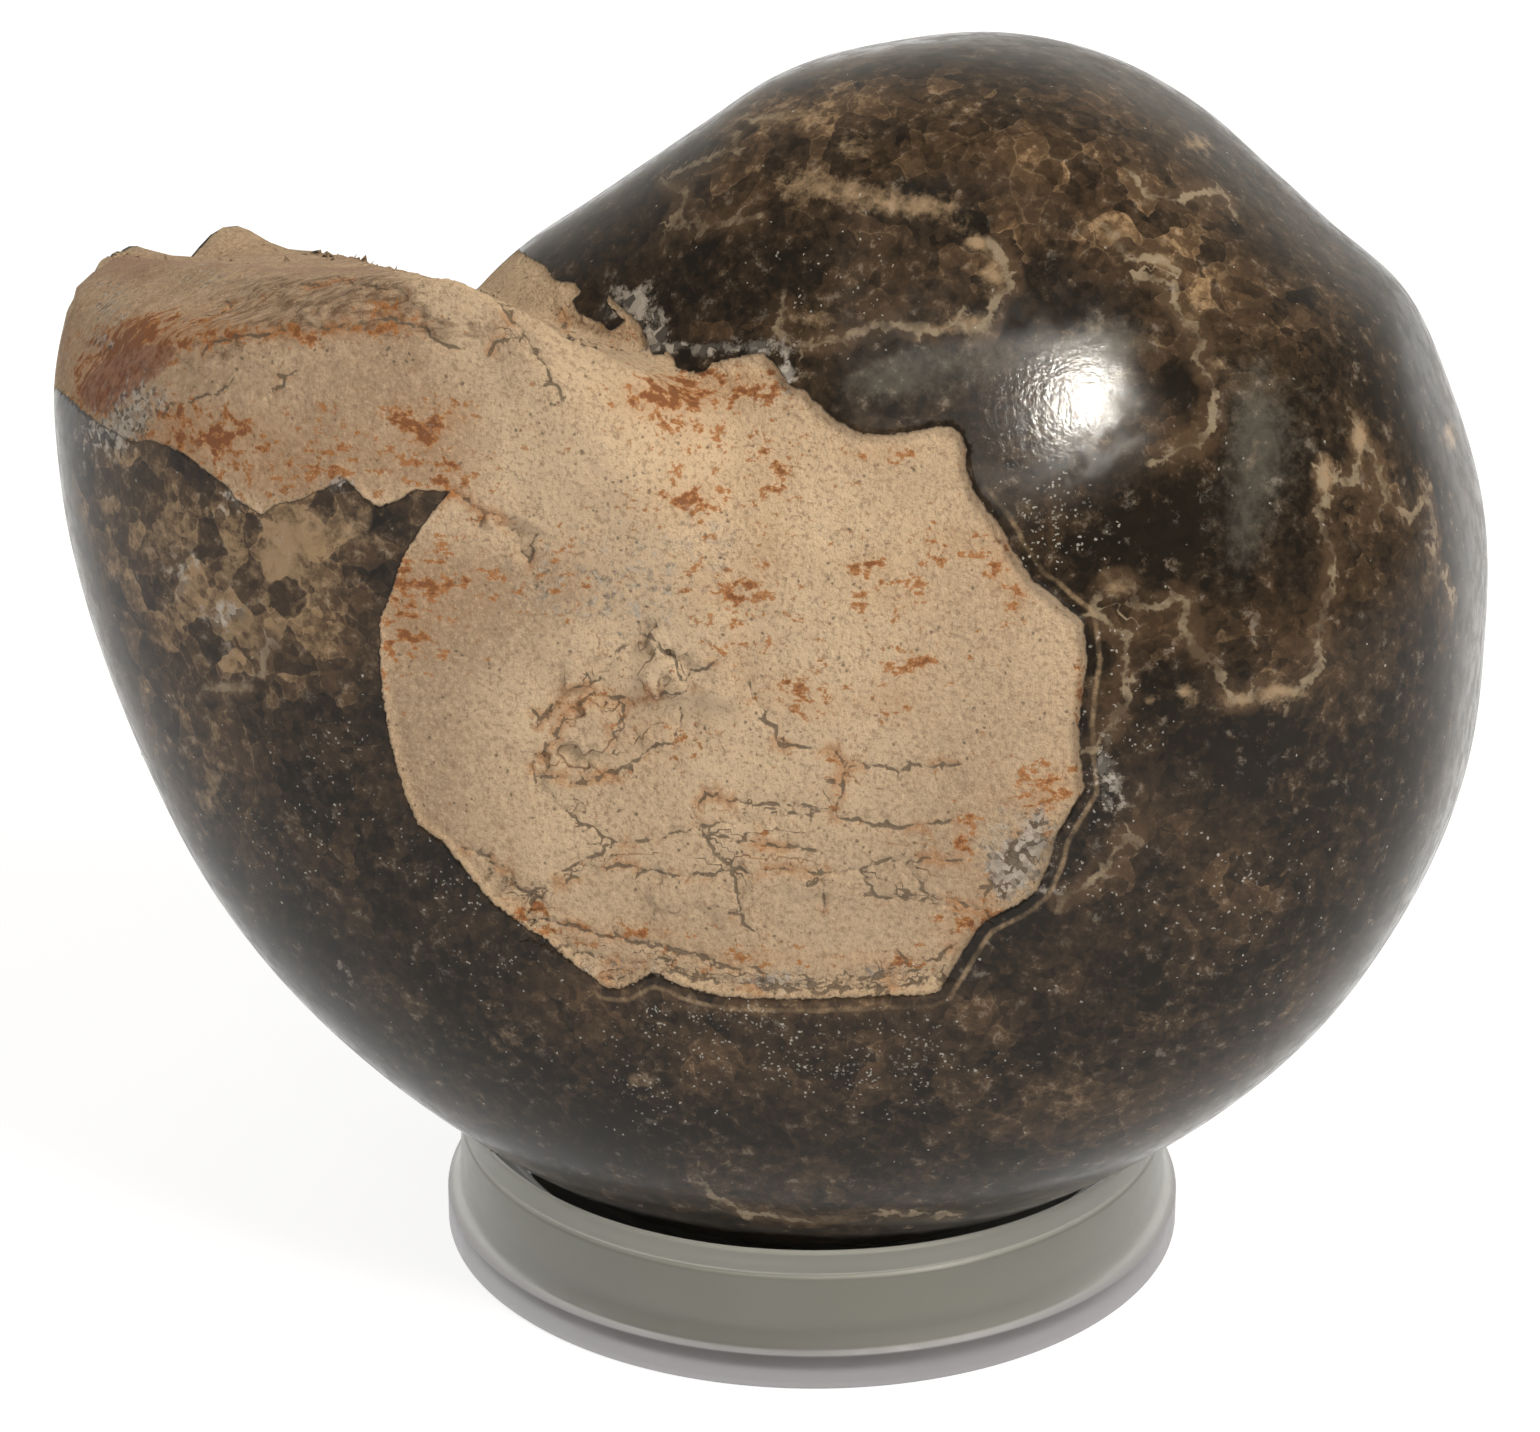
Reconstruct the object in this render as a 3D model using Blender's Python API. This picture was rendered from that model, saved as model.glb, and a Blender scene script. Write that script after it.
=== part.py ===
"""Inflated ammonite fossil standing in a clear ring stand. Metres, Z up, the camera side is -Y."""
import bmesh
import bpy
import numpy as np
from mathutils import Vector, noise

MM = 0.001

# Coil: centre in mm over the ring's axis, axis pointing to the near side
COIL_CENTRE = (3.5, -1.0, 65.4)
COIL_AXIS = (-0.281, -0.950, 0.138)
SECTION_POWER = 2.7
NOTCH_ANGLE = 142.0
GROWTH_START = 138.0

# Growth angle in degrees, radius of the whorl's outer edge in mm
SPIRAL = (
    (-62, 42.0), (-32, 44.0), (-2, 46.2), (4, 46.0), (13, 45.6), (31, 48.5), (38, 51.0),
    (48, 53.3), (59, 55.9), (69, 57.2), (78, 57.4), (87, 57.1), (95, 57.8), (104, 60.1),
    (114, 60.1), (125, 60.3), (138, 59.8), (147, 60.1), (168, 59.9), (196, 59.2), (231, 61.6),
    (264, 63.3), (289, 67.2), (306, 70.4), (324, 76.4), (334, 80.0), (343, 83.4), (360, 87.0),
    (420, 90.0),
)
# Growth angle, half thickness of the whorl in mm
HALF_WIDTH = (
    (-60, 29.0), (0, 31.0), (40, 33.0), (90, 36.0), (140, 38.0), (200, 40.0), (250, 42.0),
    (300, 44.0), (341, 45.5), (420, 46.5),
)
PLUG_LEVEL = 39.5
PLUG_FROM, PLUG_TO = 12.0, 52.0

# Seam of the last turn on the flank, in degrees round the coil
SEAM_AT_PLUG = 119.0
SEAM_SLOPE_VENTER = 4.0
SEAM_SLOPE_FLANK = 24.0
SEAM_BEND = (20.0, 90.0)
SEAM_SOFTENS_OVER = 50.0

# The last turn only stands over the earlier one: rounding of its foot in mm, at the pole and outside
SEAM_ROUND = (0.05, 2.5)

# Flats, each as a normal in right, up and near parts of the coil with its distance in mm
BREAK_TOP = (-0.075, 0.988, -0.135, 32.4)
BREAK_FAR = (0.250, 0.932, -0.300, 14.8)
BREAK_SLOPE = (-0.370, 0.900, 0.228, 53.4)
BREAK_CORNER = (-0.700, 0.480, 0.530, 71.2)
SHOULDER_FACET = (0.127, 0.418, 0.900, 41.4)
BREAK_ROUND = 1.6
FACET_ROUND = 1.0
BREAK_ROUGH = 0.7
BREAK_GRAIN = 5.0
BREAK_SEED = 7.0
BREAK_TILT = 0.2
BREAK_LOW = (22.0, 30.0)
BREAK_LEFT = (34.0, 44.0)
LEAST_FACING = 0.05

# Edge of the pale plug: turn in degrees, colatitude from the near pole
PLUG_EDGE = (
    (0, 42), (7, 42), (18, 43), (32, 39), (45, 39), (52, 42), (61, 40), (75, 38), (89, 41),
    (102, 44), (115, 44), (135, 40), (154, 37), (167, 37), (190, 38), (211, 38), (240, 38),
    (255, 37), (270, 36), (293, 38), (307, 42), (322, 39), (336, 41), (350, 42), (360, 42),
)
LEDGE_DEPTH = 0.8
LEDGE_HALF_ANGLE = 0.5
LEDGE_GAP_AT = 140.0
LEDGE_GAP = (25.0, 60.0)

# Lumps on the broken end: right, up and near parts, height and spread in mm
LUMPS = (
    (-77.5, 26.0, -5.0, 2.2, 4.0),
    (-72.8, 22.4, -21.8, 4.6, 4.0),
    (-74.5, 25.5, -13.5, -1.4, 3.0),
)

# Near edge of the break, softened where it crosses the grid: limits of its right, up and near parts
EDGE_RIGHT, EDGE_UP, EDGE_NEAR = (-62.0, -8.0), 14.0, 6.0
EDGE_PASSES = 2
EDGE_SHARE = 0.5

# Mesh of the fossil
FINE_FROM, FINE_TO, FINE_STEP = 113.0, 173.0, 2.5
COARSE_COLUMNS = 66
PLUG_ROWS = 8
LAST_PLUG_ROW = 0.6
OUTER_ROWS = 28

# Ring stand: radius and height in mm, anticlockwise from the inside of the foot
RING_PROFILE = (
    (30.0, 0.0), (36.1, 0.0), (36.4, 0.3), (36.4, 3.6), (35.9, 4.1), (35.1, 5.6), (34.9, 10.9),
    (34.5, 11.3), (34.9, 11.7), (34.8, 13.6), (34.4, 13.9), (30.3, 10.2), (30.0, 9.8),
)
RING_SEGMENTS = 80


def clear_scene():
    """Remove every object that a new file brings."""
    for item in list(bpy.data.objects):
        bpy.data.objects.remove(item)


def ramp(value, low, high):
    """Smooth step from 0 at low to 1 at high."""
    share = np.clip((value - low) / (high - low), 0.0, 1.0)
    return share * share * (3.0 - 2.0 * share)


def curve(stations, at):
    """Smooth curve through the stations, by cubic pieces with averaged slopes."""
    xs = np.array([s[0] for s in stations], float)
    ys = np.array([s[1] for s in stations], float)
    slope = np.gradient(ys, xs)
    k = np.clip(np.searchsorted(xs, at) - 1, 0, len(xs) - 2)
    width = xs[k + 1] - xs[k]
    t = np.clip((at - xs[k]) / width, 0.0, 1.0)
    start = (1 + 2 * t) * (1 - t) ** 2 * ys[k] + t * (1 - t) ** 2 * width * slope[k]
    end = t * t * (3 - 2 * t) * ys[k + 1] + t * t * (t - 1) * width * slope[k + 1]
    return start + end


def coil_frame():
    """Right, up and near axes of the coil as rows."""
    near = Vector(COIL_AXIS).normalized()
    up = (Vector((0, 0, 1)) - near.z * near).normalized()
    return np.array([up.cross(near), up, near])


def section(out, along, radius, half_width):
    """Distance to a rounded cross-section along a direction with the parts out and along."""
    power = SECTION_POWER
    return ((out / radius) ** power + (np.abs(along) / half_width) ** power) ** (-1 / power)


def soft_min(a, b, size):
    """Smaller of two lengths, with the meeting rounded over a size in mm."""
    mix = np.clip(0.5 + 0.5 * (b - a) / size, 0.0, 1.0)
    return b + (a - b) * mix - size * mix * (1.0 - mix)


def whorl(growth, out, along, from_pole):
    """Distance to the coil's surface at a growth angle, levelled out near the axis."""
    share = ramp(from_pole, PLUG_FROM, PLUG_TO)
    half_width = PLUG_LEVEL + (curve(HALF_WIDTH, growth) - PLUG_LEVEL) * share
    return section(out, along, curve(SPIRAL, growth), half_width)


def flat(turn, out, along, cut):
    """Distance to a flat, very far where the direction doesn't meet it."""
    right, up, near, level = cut
    angle = np.radians(turn)
    facing = out * (right * np.cos(angle) + up * np.sin(angle)) + near * along
    return level / np.maximum(facing, LEAST_FACING)


def body_radius(turn, colat):
    """Distance from the coil's centre to the fossil's surface, in mm."""
    out = np.sin(np.radians(colat))
    along = np.cos(np.radians(colat))
    from_pole = np.minimum(colat, 180.0 - colat)
    bend = ramp(from_pole, *SEAM_BEND)
    seam = SEAM_AT_PLUG + (NOTCH_ANGLE - SEAM_AT_PLUG) * bend
    past = (turn - seam + 180.0) % 360.0 - 180.0
    growth = GROWTH_START - seam - past
    last = whorl(growth + 360.0, out, along, from_pole)
    for cut in (BREAK_TOP, BREAK_FAR, BREAK_SLOPE, BREAK_CORNER):
        last = soft_min(last, flat(turn, out, along, cut), BREAK_ROUND)
    earlier = whorl(np.maximum(growth, SPIRAL[0][0]), out, along, from_pole)
    earlier = soft_min(earlier, flat(turn, out, along, SHOULDER_FACET), FACET_ROUND)
    slope = SEAM_SLOPE_VENTER + SEAM_SLOPE_FLANK * ramp(90.0 - from_pole, 0.0, SEAM_SOFTENS_OVER)
    foot = SEAM_ROUND[0] + (SEAM_ROUND[1] - SEAM_ROUND[0]) * bend
    rise = -soft_min(earlier - last, 0.0, foot)
    return earlier + rise * ramp(past, -slope, 0.0)


def point_at(axes, turn, colat, radius):
    """Point in mm from the coil's centre."""
    out = radius * np.sin(np.radians(colat))
    flat = np.stack([out * np.cos(np.radians(turn)), out * np.sin(np.radians(turn))], -1)
    along = radius * np.cos(np.radians(colat))
    return flat @ axes[:2] + along[..., None] * axes[2]


def ledge(turn, colat):
    """Step down from the dark shell to the pale plug, fading out where the seam crosses it."""
    edge = plug_edge(turn)
    fade = ramp(np.abs((turn - LEDGE_GAP_AT + 180.0) % 360.0 - 180.0), *LEDGE_GAP)
    inside = ramp(edge - colat, -LEDGE_HALF_ANGLE, LEDGE_HALF_ANGLE)
    return LEDGE_DEPTH * inside * fade


def plug_edge(turn):
    """Colatitude of the plug's edge at a turn."""
    return curve(PLUG_EDGE, turn % 360.0)


def lumps(local):
    """Height of the lumps on the broken end at each point, given in the coil's axes."""
    total = np.zeros(local.shape[:-1])
    for right, up, near, height, spread in LUMPS:
        away = np.linalg.norm(local - np.array([right, up, near]), axis=-1)
        total += height * np.exp(-((away / spread) ** 2))
    return total


def roughness(base, size, seed):
    """Deterministic noise at each point, about -1 to 1."""
    flat = base.reshape(-1, 3)
    values = [noise.noise(Vector(p) / size + Vector((seed, 0, 0))) for p in flat.tolist()]
    return np.array(values).reshape(base.shape[:-1])


def fossil_surface(turn, colat):
    """Points of the finished surface in mm from the coil's centre."""
    axes = coil_frame()
    radius = body_radius(turn, colat) - ledge(turn, colat)
    points = point_at(axes, turn, colat, radius)
    local = points @ axes.T
    height = local[..., 1] - BREAK_TILT * local[..., 0]
    on_break = ramp(height, *BREAK_LOW) * ramp(-local[..., 0], *BREAK_LEFT)
    rise = lumps(local) + on_break * BREAK_ROUGH * roughness(points, BREAK_GRAIN, BREAK_SEED)
    return points + rise[..., None] * axes[1]


def grid_directions():
    """Turn and colatitude of each mesh point, with two rows along the plug's edge."""
    fine = np.arange(FINE_FROM, FINE_TO, FINE_STEP)
    coarse = np.linspace(FINE_TO, FINE_FROM + 360.0, COARSE_COLUMNS, endpoint=False)
    turn = np.concatenate([fine, coarse])
    edge = plug_edge(turn)
    inner = [edge * k / (PLUG_ROWS + LAST_PLUG_ROW) for k in range(1, PLUG_ROWS + 1)]
    ledge_rows = [edge - LEDGE_HALF_ANGLE, edge + LEDGE_HALF_ANGLE]
    outer = [edge + (180.0 - edge) * k / (OUTER_ROWS + 1.0) for k in range(1, OUTER_ROWS + 1)]
    colat = np.array(inner + ledge_rows + outer)
    return np.broadcast_to(turn, colat.shape), colat


def new_object(name, bm, material):
    """Link an object made from the bmesh, shaded smooth."""
    bmesh.ops.recalc_face_normals(bm, faces=bm.faces)
    for face in bm.faces:
        face.smooth = True
    mesh = bpy.data.meshes.new(name)
    bm.to_mesh(mesh)
    bm.free()
    item = bpy.data.objects.new(name, mesh)
    mesh.materials.append(material)
    bpy.context.scene.collection.objects.link(item)
    return item


def new_material(name, colour, roughness_value, transmission):
    """Principled material with plain values."""
    material = bpy.data.materials.new(name)
    material.use_nodes = True
    shader = material.node_tree.nodes["Principled BSDF"]
    shader.inputs["Base Color"].default_value = (*colour, 1.0)
    shader.inputs["Roughness"].default_value = roughness_value
    shader.inputs["Transmission Weight"].default_value = transmission
    return material


def soften_edge(bm):
    """Smooth the near edge of the break, which runs across the grid's rows."""
    axes = coil_frame()
    edge = []
    for vert in bm.verts:
        right, up, near = axes @ (np.array(vert.co) / MM - np.array(COIL_CENTRE))
        if EDGE_RIGHT[0] < right < EDGE_RIGHT[1] and up > EDGE_UP and near > EDGE_NEAR:
            edge.append(vert)
    for _ in range(EDGE_PASSES):
        bmesh.ops.smooth_vert(
            bm, verts=edge, factor=EDGE_SHARE, use_axis_x=True, use_axis_y=True, use_axis_z=True,
        )


def make_fossil():
    """One closed lump: two poles and the rows of the grid between them."""
    turn, colat = grid_directions()
    rows, columns = colat.shape
    centre = np.array(COIL_CENTRE)
    grid = fossil_surface(turn, colat) + centre
    near = fossil_surface(np.array([90.0]), np.array([0.0]))[0] + centre
    far = fossil_surface(np.array([90.0]), np.array([180.0]))[0] + centre
    bm = bmesh.new()
    verts = [[bm.verts.new(p * MM) for p in row] for row in grid]
    pole_near = bm.verts.new(near * MM)
    pole_far = bm.verts.new(far * MM)
    for j in range(columns):
        k = (j + 1) % columns
        bm.faces.new((pole_near, verts[0][j], verts[0][k]))
        bm.faces.new((pole_far, verts[-1][k], verts[-1][j]))
        for i in range(rows - 1):
            bm.faces.new((verts[i][j], verts[i + 1][j], verts[i + 1][k], verts[i][k]))
    soften_edge(bm)
    bmesh.ops.triangulate(bm, faces=bm.faces, quad_method="SHORT_EDGE")
    stone = new_material("fossil_stone", (0.09, 0.065, 0.045), 0.3, 0.0)
    return new_object("ammonite_fossil", bm, stone)


def make_ring():
    """Ring stand turned from its profile round the upright axis."""
    bm = bmesh.new()
    angles = np.linspace(0.0, 2.0 * np.pi, RING_SEGMENTS, endpoint=False)
    loops = []
    for angle in angles:
        cos, sin = np.cos(angle), np.sin(angle)
        loops.append([bm.verts.new((r * cos * MM, r * sin * MM, z * MM)) for r, z in RING_PROFILE])
    count = len(RING_PROFILE)
    for j in range(RING_SEGMENTS):
        this, other = loops[j], loops[(j + 1) % RING_SEGMENTS]
        for i in range(count):
            k = (i + 1) % count
            bm.faces.new((this[i], other[i], other[k], this[k]))
    acrylic = new_material("clear_acrylic", (0.86, 0.87, 0.86), 0.15, 1.0)
    return new_object("ring_stand", bm, acrylic)


def centre_on_base(items):
    """Move the meshes so that the middle of their common box's bottom is the origin."""
    points = np.array([v.co[:] for item in items for v in item.data.vertices])
    low, high = points.min(axis=0), points.max(axis=0)
    middle = Vector(((low[0] + high[0]) / 2, (low[1] + high[1]) / 2, low[2]))
    for item in items:
        for vert in item.data.vertices:
            vert.co -= middle


def main():
    clear_scene()
    centre_on_base([make_fossil(), make_ring()])


main()
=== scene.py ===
"""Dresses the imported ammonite: polished stone with its markings, the clear ring and a soft studio."""
import math

import bpy
import numpy as np
from bpy.props import FloatProperty, FloatVectorProperty, IntProperty, PointerProperty
from bpy.types import Operator, Panel, PropertyGroup
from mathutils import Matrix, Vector, noise
from mathutils.bvhtree import BVHTree
from mathutils.kdtree import KDTree


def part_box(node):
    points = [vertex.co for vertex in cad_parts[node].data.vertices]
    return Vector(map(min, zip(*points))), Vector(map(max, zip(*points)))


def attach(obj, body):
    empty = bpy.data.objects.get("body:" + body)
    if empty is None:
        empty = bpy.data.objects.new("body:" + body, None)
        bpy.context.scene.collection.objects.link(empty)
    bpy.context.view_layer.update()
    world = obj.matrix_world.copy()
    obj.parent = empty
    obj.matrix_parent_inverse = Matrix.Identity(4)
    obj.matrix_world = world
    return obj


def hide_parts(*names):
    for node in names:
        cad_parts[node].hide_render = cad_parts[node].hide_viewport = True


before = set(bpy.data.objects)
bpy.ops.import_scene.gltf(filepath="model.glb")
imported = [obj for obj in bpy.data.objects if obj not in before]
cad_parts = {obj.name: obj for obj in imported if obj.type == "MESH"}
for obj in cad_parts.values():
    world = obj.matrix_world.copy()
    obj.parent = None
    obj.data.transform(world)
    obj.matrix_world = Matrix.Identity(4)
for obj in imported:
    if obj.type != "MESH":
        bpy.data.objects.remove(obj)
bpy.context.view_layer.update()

bl_info = {
    "name": "Polished ammonite on a clear ring",
    "version": (1, 0, 0),
    "blender": (4, 5, 0),
    "location": "View3D > Sidebar > Ammonite",
    "description": "Builds the stone, the ring and the studio round the packed model",
    "category": "Object",
}

MM = 0.001
RING_BOX = [np.array(corner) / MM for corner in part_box("ring_stand")]
STONE_BOX = [np.array(corner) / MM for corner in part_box("ammonite_fossil")]
RING_CENTRE = np.array([*((RING_BOX[0] + RING_BOX[1]) / 2)[:2], RING_BOX[0][2]])

# Camera, from the photo's perspective: mm from the ring's middle, picture 1540 by 1432
LOOK_AT = RING_CENTRE + (-4.2, 0.0, 53.4)
ELEVATION = math.radians(23.0)
DISTANCE = 495.0
LENS = 120.0
SENSOR = 36.0
PICTURE = (1540.0, 1432.0)

# Shape of the stone, by the same formula as its solid: mm and degrees
COIL_CENTRE = RING_CENTRE + (3.5, -1.0, 65.4)
COIL_AXIS = (-0.281, -0.950, 0.138)
SECTION_POWER = 2.7
NOTCH_ANGLE = 142.0
GROWTH_START = 138.0
SPIRAL = (
    (-62, 42.0), (-32, 44.0), (-2, 46.2), (4, 46.0), (13, 45.6), (31, 48.5), (38, 51.0),
    (48, 53.3), (59, 55.9), (69, 57.2), (78, 57.4), (87, 57.1), (95, 57.8), (104, 60.1),
    (114, 60.1), (125, 60.3), (138, 59.8), (147, 60.1), (168, 59.9), (196, 59.2), (231, 61.6),
    (264, 63.3), (289, 67.2), (306, 70.4), (324, 76.4), (334, 80.0), (343, 83.4), (360, 87.0),
    (420, 90.0),
)
HALF_WIDTH = (
    (-60, 29.0), (0, 31.0), (40, 33.0), (90, 36.0), (140, 38.0), (200, 40.0), (250, 42.0),
    (300, 44.0), (341, 45.5), (420, 46.5),
)
PLUG_LEVEL = 39.5
PLUG_SPAN = (12.0, 52.0)
SEAM_AT_PLUG = 119.0
SEAM_SLOPE = (4.0, 24.0)
SEAM_BEND = (20.0, 90.0)
SEAM_ROUND = (0.05, 2.5)
BREAKS = (
    (-0.075, 0.988, -0.135, 32.4),
    (0.250, 0.932, -0.300, 14.8),
    (-0.370, 0.900, 0.228, 53.4),
    (-0.700, 0.480, 0.530, 71.2),
)
SHOULDER_FACET = (0.127, 0.418, 0.900, 41.4)
BREAK_ROUND = 1.6
FACET_ROUND = 1.0
LUMPS = (
    (-77.5, 26.0, -5.0, 1.3, 4.2),
    (-72.8, 22.4, -21.8, 3.6, 4.4),
    (-74.5, 25.5, -13.5, -1.2, 3.2),
)

# Markings, as points in the picture
TAN_EDGE = (
    (519, 250), (545, 266), (555, 280), (575, 283), (580, 292), (571, 300), (576, 311), (590, 318),
    (601, 323), (610, 332), (625, 321), (615, 312), (603, 300), (607, 294), (617, 304), (628, 312),
    (640, 325), (648, 345), (655, 356), (666, 350), (678, 366), (700, 373), (712, 362), (735, 357),
    (762, 352), (777, 366), (790, 386), (806, 390), (815, 401), (837, 421), (860, 432), (882, 435),
    (909, 432), (927, 428), (949, 425), (960, 432), (966, 450), (965, 468), (976, 495), (994, 517),
    (1016, 553), (1034, 580), (1061, 602), (1083, 620), (1085, 633), (1088, 660), (1084, 686),
    (1080, 721), (1080, 752), (1084, 788), (1072, 811), (1057, 834), (1049, 865), (1037, 891),
    (1015, 907), (984, 922), (965, 949), (949, 976), (938, 993), (926, 996), (850, 998), (797, 1001),
    (725, 998), (687, 989), (653, 974), (625, 989), (606, 989), (567, 960), (545, 940), (520, 924),
    (494, 905), (467, 875), (444, 844), (417, 825), (402, 790), (394, 760), (386, 725), (381, 687),
    (379, 649), (379, 622), (390, 595), (402, 557), (421, 526), (448, 492), (415, 490), (395, 503),
    (378, 507), (362, 497), (345, 480), (320, 490), (300, 500), (275, 505), (262, 515), (250, 508),
    (235, 500), (228, 488), (215, 478), (201, 468), (185, 455), (165, 445), (150, 441), (130, 442),
    (112, 432), (98, 424), (83, 412), (73, 403), (62, 393), (45, 384), (20, 360), (30, 240),
    (100, 200), (250, 180), (430, 240), (490, 240),
)
SUTURES = (
    ((1095, 600), (1110, 583), (1126, 581), (1137, 602), (1160, 606), (1175, 595), (1185, 602),
     (1183, 625), (1198, 652), (1218, 664), (1221, 683), (1233, 700), (1248, 702), (1256, 692),
     (1283, 690), (1290, 702), (1302, 690), (1321, 667), (1321, 637), (1323, 606), (1336, 587),
     (1332, 549), (1319, 514), (1325, 491), (1323, 468), (1334, 480), (1352, 482), (1359, 465),
     (1357, 426), (1374, 453), (1382, 484), (1397, 510), (1409, 518), (1420, 510), (1426, 491),
     (1432, 515), (1434, 530), (1436, 575), (1447, 575), (1455, 606)),
    ((1095, 618), (1118, 629), (1126, 633), (1126, 667), (1126, 698), (1110, 729), (1093, 752)),
    ((782, 117), (742, 120), (729, 127), (742, 134), (733, 147), (720, 156), (684, 167), (666, 181),
     (684, 190), (684, 203), (662, 230), (697, 223), (704, 232), (715, 223), (751, 214)),
    ((996, 250), (1003, 263), (1010, 283), (996, 295), (990, 308), (987, 330), (970, 333), (961, 321),
     (938, 330), (900, 322), (868, 325), (840, 340), (800, 345)),
    ((1108, 234), (1130, 259), (1148, 254), (1175, 268)),
    ((1144, 272), (1175, 286), (1174, 304), (1195, 327), (1202, 342), (1198, 357), (1210, 376),
     (1216, 403), (1210, 430), (1198, 445), (1175, 453), (1160, 463)),
    ((1134, 180), (1140, 196), (1170, 200), (1222, 190), (1236, 212)),
    ((1060, 900), (1085, 888), (1110, 860), (1130, 835)),
    ((700, 1170), (712, 1196), (745, 1212), (800, 1222), (870, 1215), (960, 1216)),
    ((200, 690), (235, 690), (262, 672), (268, 640)),
    ((780, 305), (776, 330), (790, 345), (800, 345)),
)
CRACKS = (
    ((518, 905), (564, 871), (610, 850), (656, 840), (698, 829), (748, 825), (782, 817), (825, 815),
     (847, 825), (886, 829), (950, 827)),
    ((522, 905), (564, 882), (618, 867), (645, 875), (679, 879), (710, 877), (736, 875), (771, 871),
     (809, 881), (859, 871), (882, 863), (916, 865), (950, 863)),
    ((698, 835), (729, 871), (733, 902), (744, 928)),
    ((819, 883), (821, 909)),
    ((860, 871), (870, 897), (910, 903), (950, 910)),
    ((565, 815), (600, 838)),
    ((748, 695), (775, 745), (809, 750), (832, 756), (844, 768), (838, 795), (834, 817)),
    ((844, 768), (886, 772), (950, 768)),
    ((538, 724), (561, 699), (587, 687), (603, 672), (618, 653), (649, 639), (668, 657), (683, 680),
     (710, 668)),
    ((683, 691), (618, 703), (595, 699), (564, 714), (553, 741), (538, 764)),
    ((614, 718), (610, 752)),
    ((675, 714), (668, 745), (641, 756), (618, 772), (599, 783), (572, 787), (530, 776)),
    ((540, 922), (601, 938), (653, 950), (706, 968), (773, 977), (830, 984), (873, 980), (902, 967),
     (945, 957)),
    ((565, 950), (600, 962), (640, 968), (665, 962)),
    ((262, 398), (278, 390), (290, 375)),
    ((565, 320), (575, 334), (595, 343), (612, 345)),
    ((500, 300), (520, 330), (545, 372), (560, 392)),
    ((400, 325), (424, 334), (440, 345), (452, 349)),
    ((490, 340), (515, 336), (532, 352)),
    ((205, 345), (260, 334), (310, 330), (355, 322), (395, 322)),
    ((200, 318), (235, 300), (275, 288), (330, 276), (372, 280), (400, 290)),
    ((160, 405), (195, 400), (225, 385)),
    ((448, 492), (470, 508), (497, 517), (512, 540), (528, 562), (530, 545)),
    ((700, 835), (760, 850), (805, 853)),
    ((985, 905), (992, 880), (1010, 850), (1035, 830)),
    ((530, 940), (600, 962), (660, 976), (730, 986), (800, 989), (870, 986), (930, 974)),
    ((610, 984), (650, 970), (700, 980), (760, 993), (830, 995), (900, 990), (948, 978)),
    ((470, 850), (500, 872), (525, 900)), ((650, 945), (690, 956), (720, 972)),
    ((905, 865), (930, 900), (960, 905), (985, 915)), ((700, 800), (760, 808), (825, 812)),
)
# Hollows: picture point, half width and half height in picture points, depth in mm
DENTS = (
    (600, 690, 30, 24, 0.3), (575, 748, 34, 24, 0.35), (655, 742, 40, 26, 0.3), (516, 531, 9, 9, 0.5),
    (524, 552, 7, 10, 0.5), (503, 520, 7, 5, 0.4),
    (421, 316, 5, 6, 0.6), (424, 333, 6, 4, 0.4), (322, 350, 5, 5, 0.4), (716, 428, 6, 3, 0.3),
    (818, 277, 7, 7, 0.3), (595, 305, 14, 16, 0.4),
)
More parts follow.
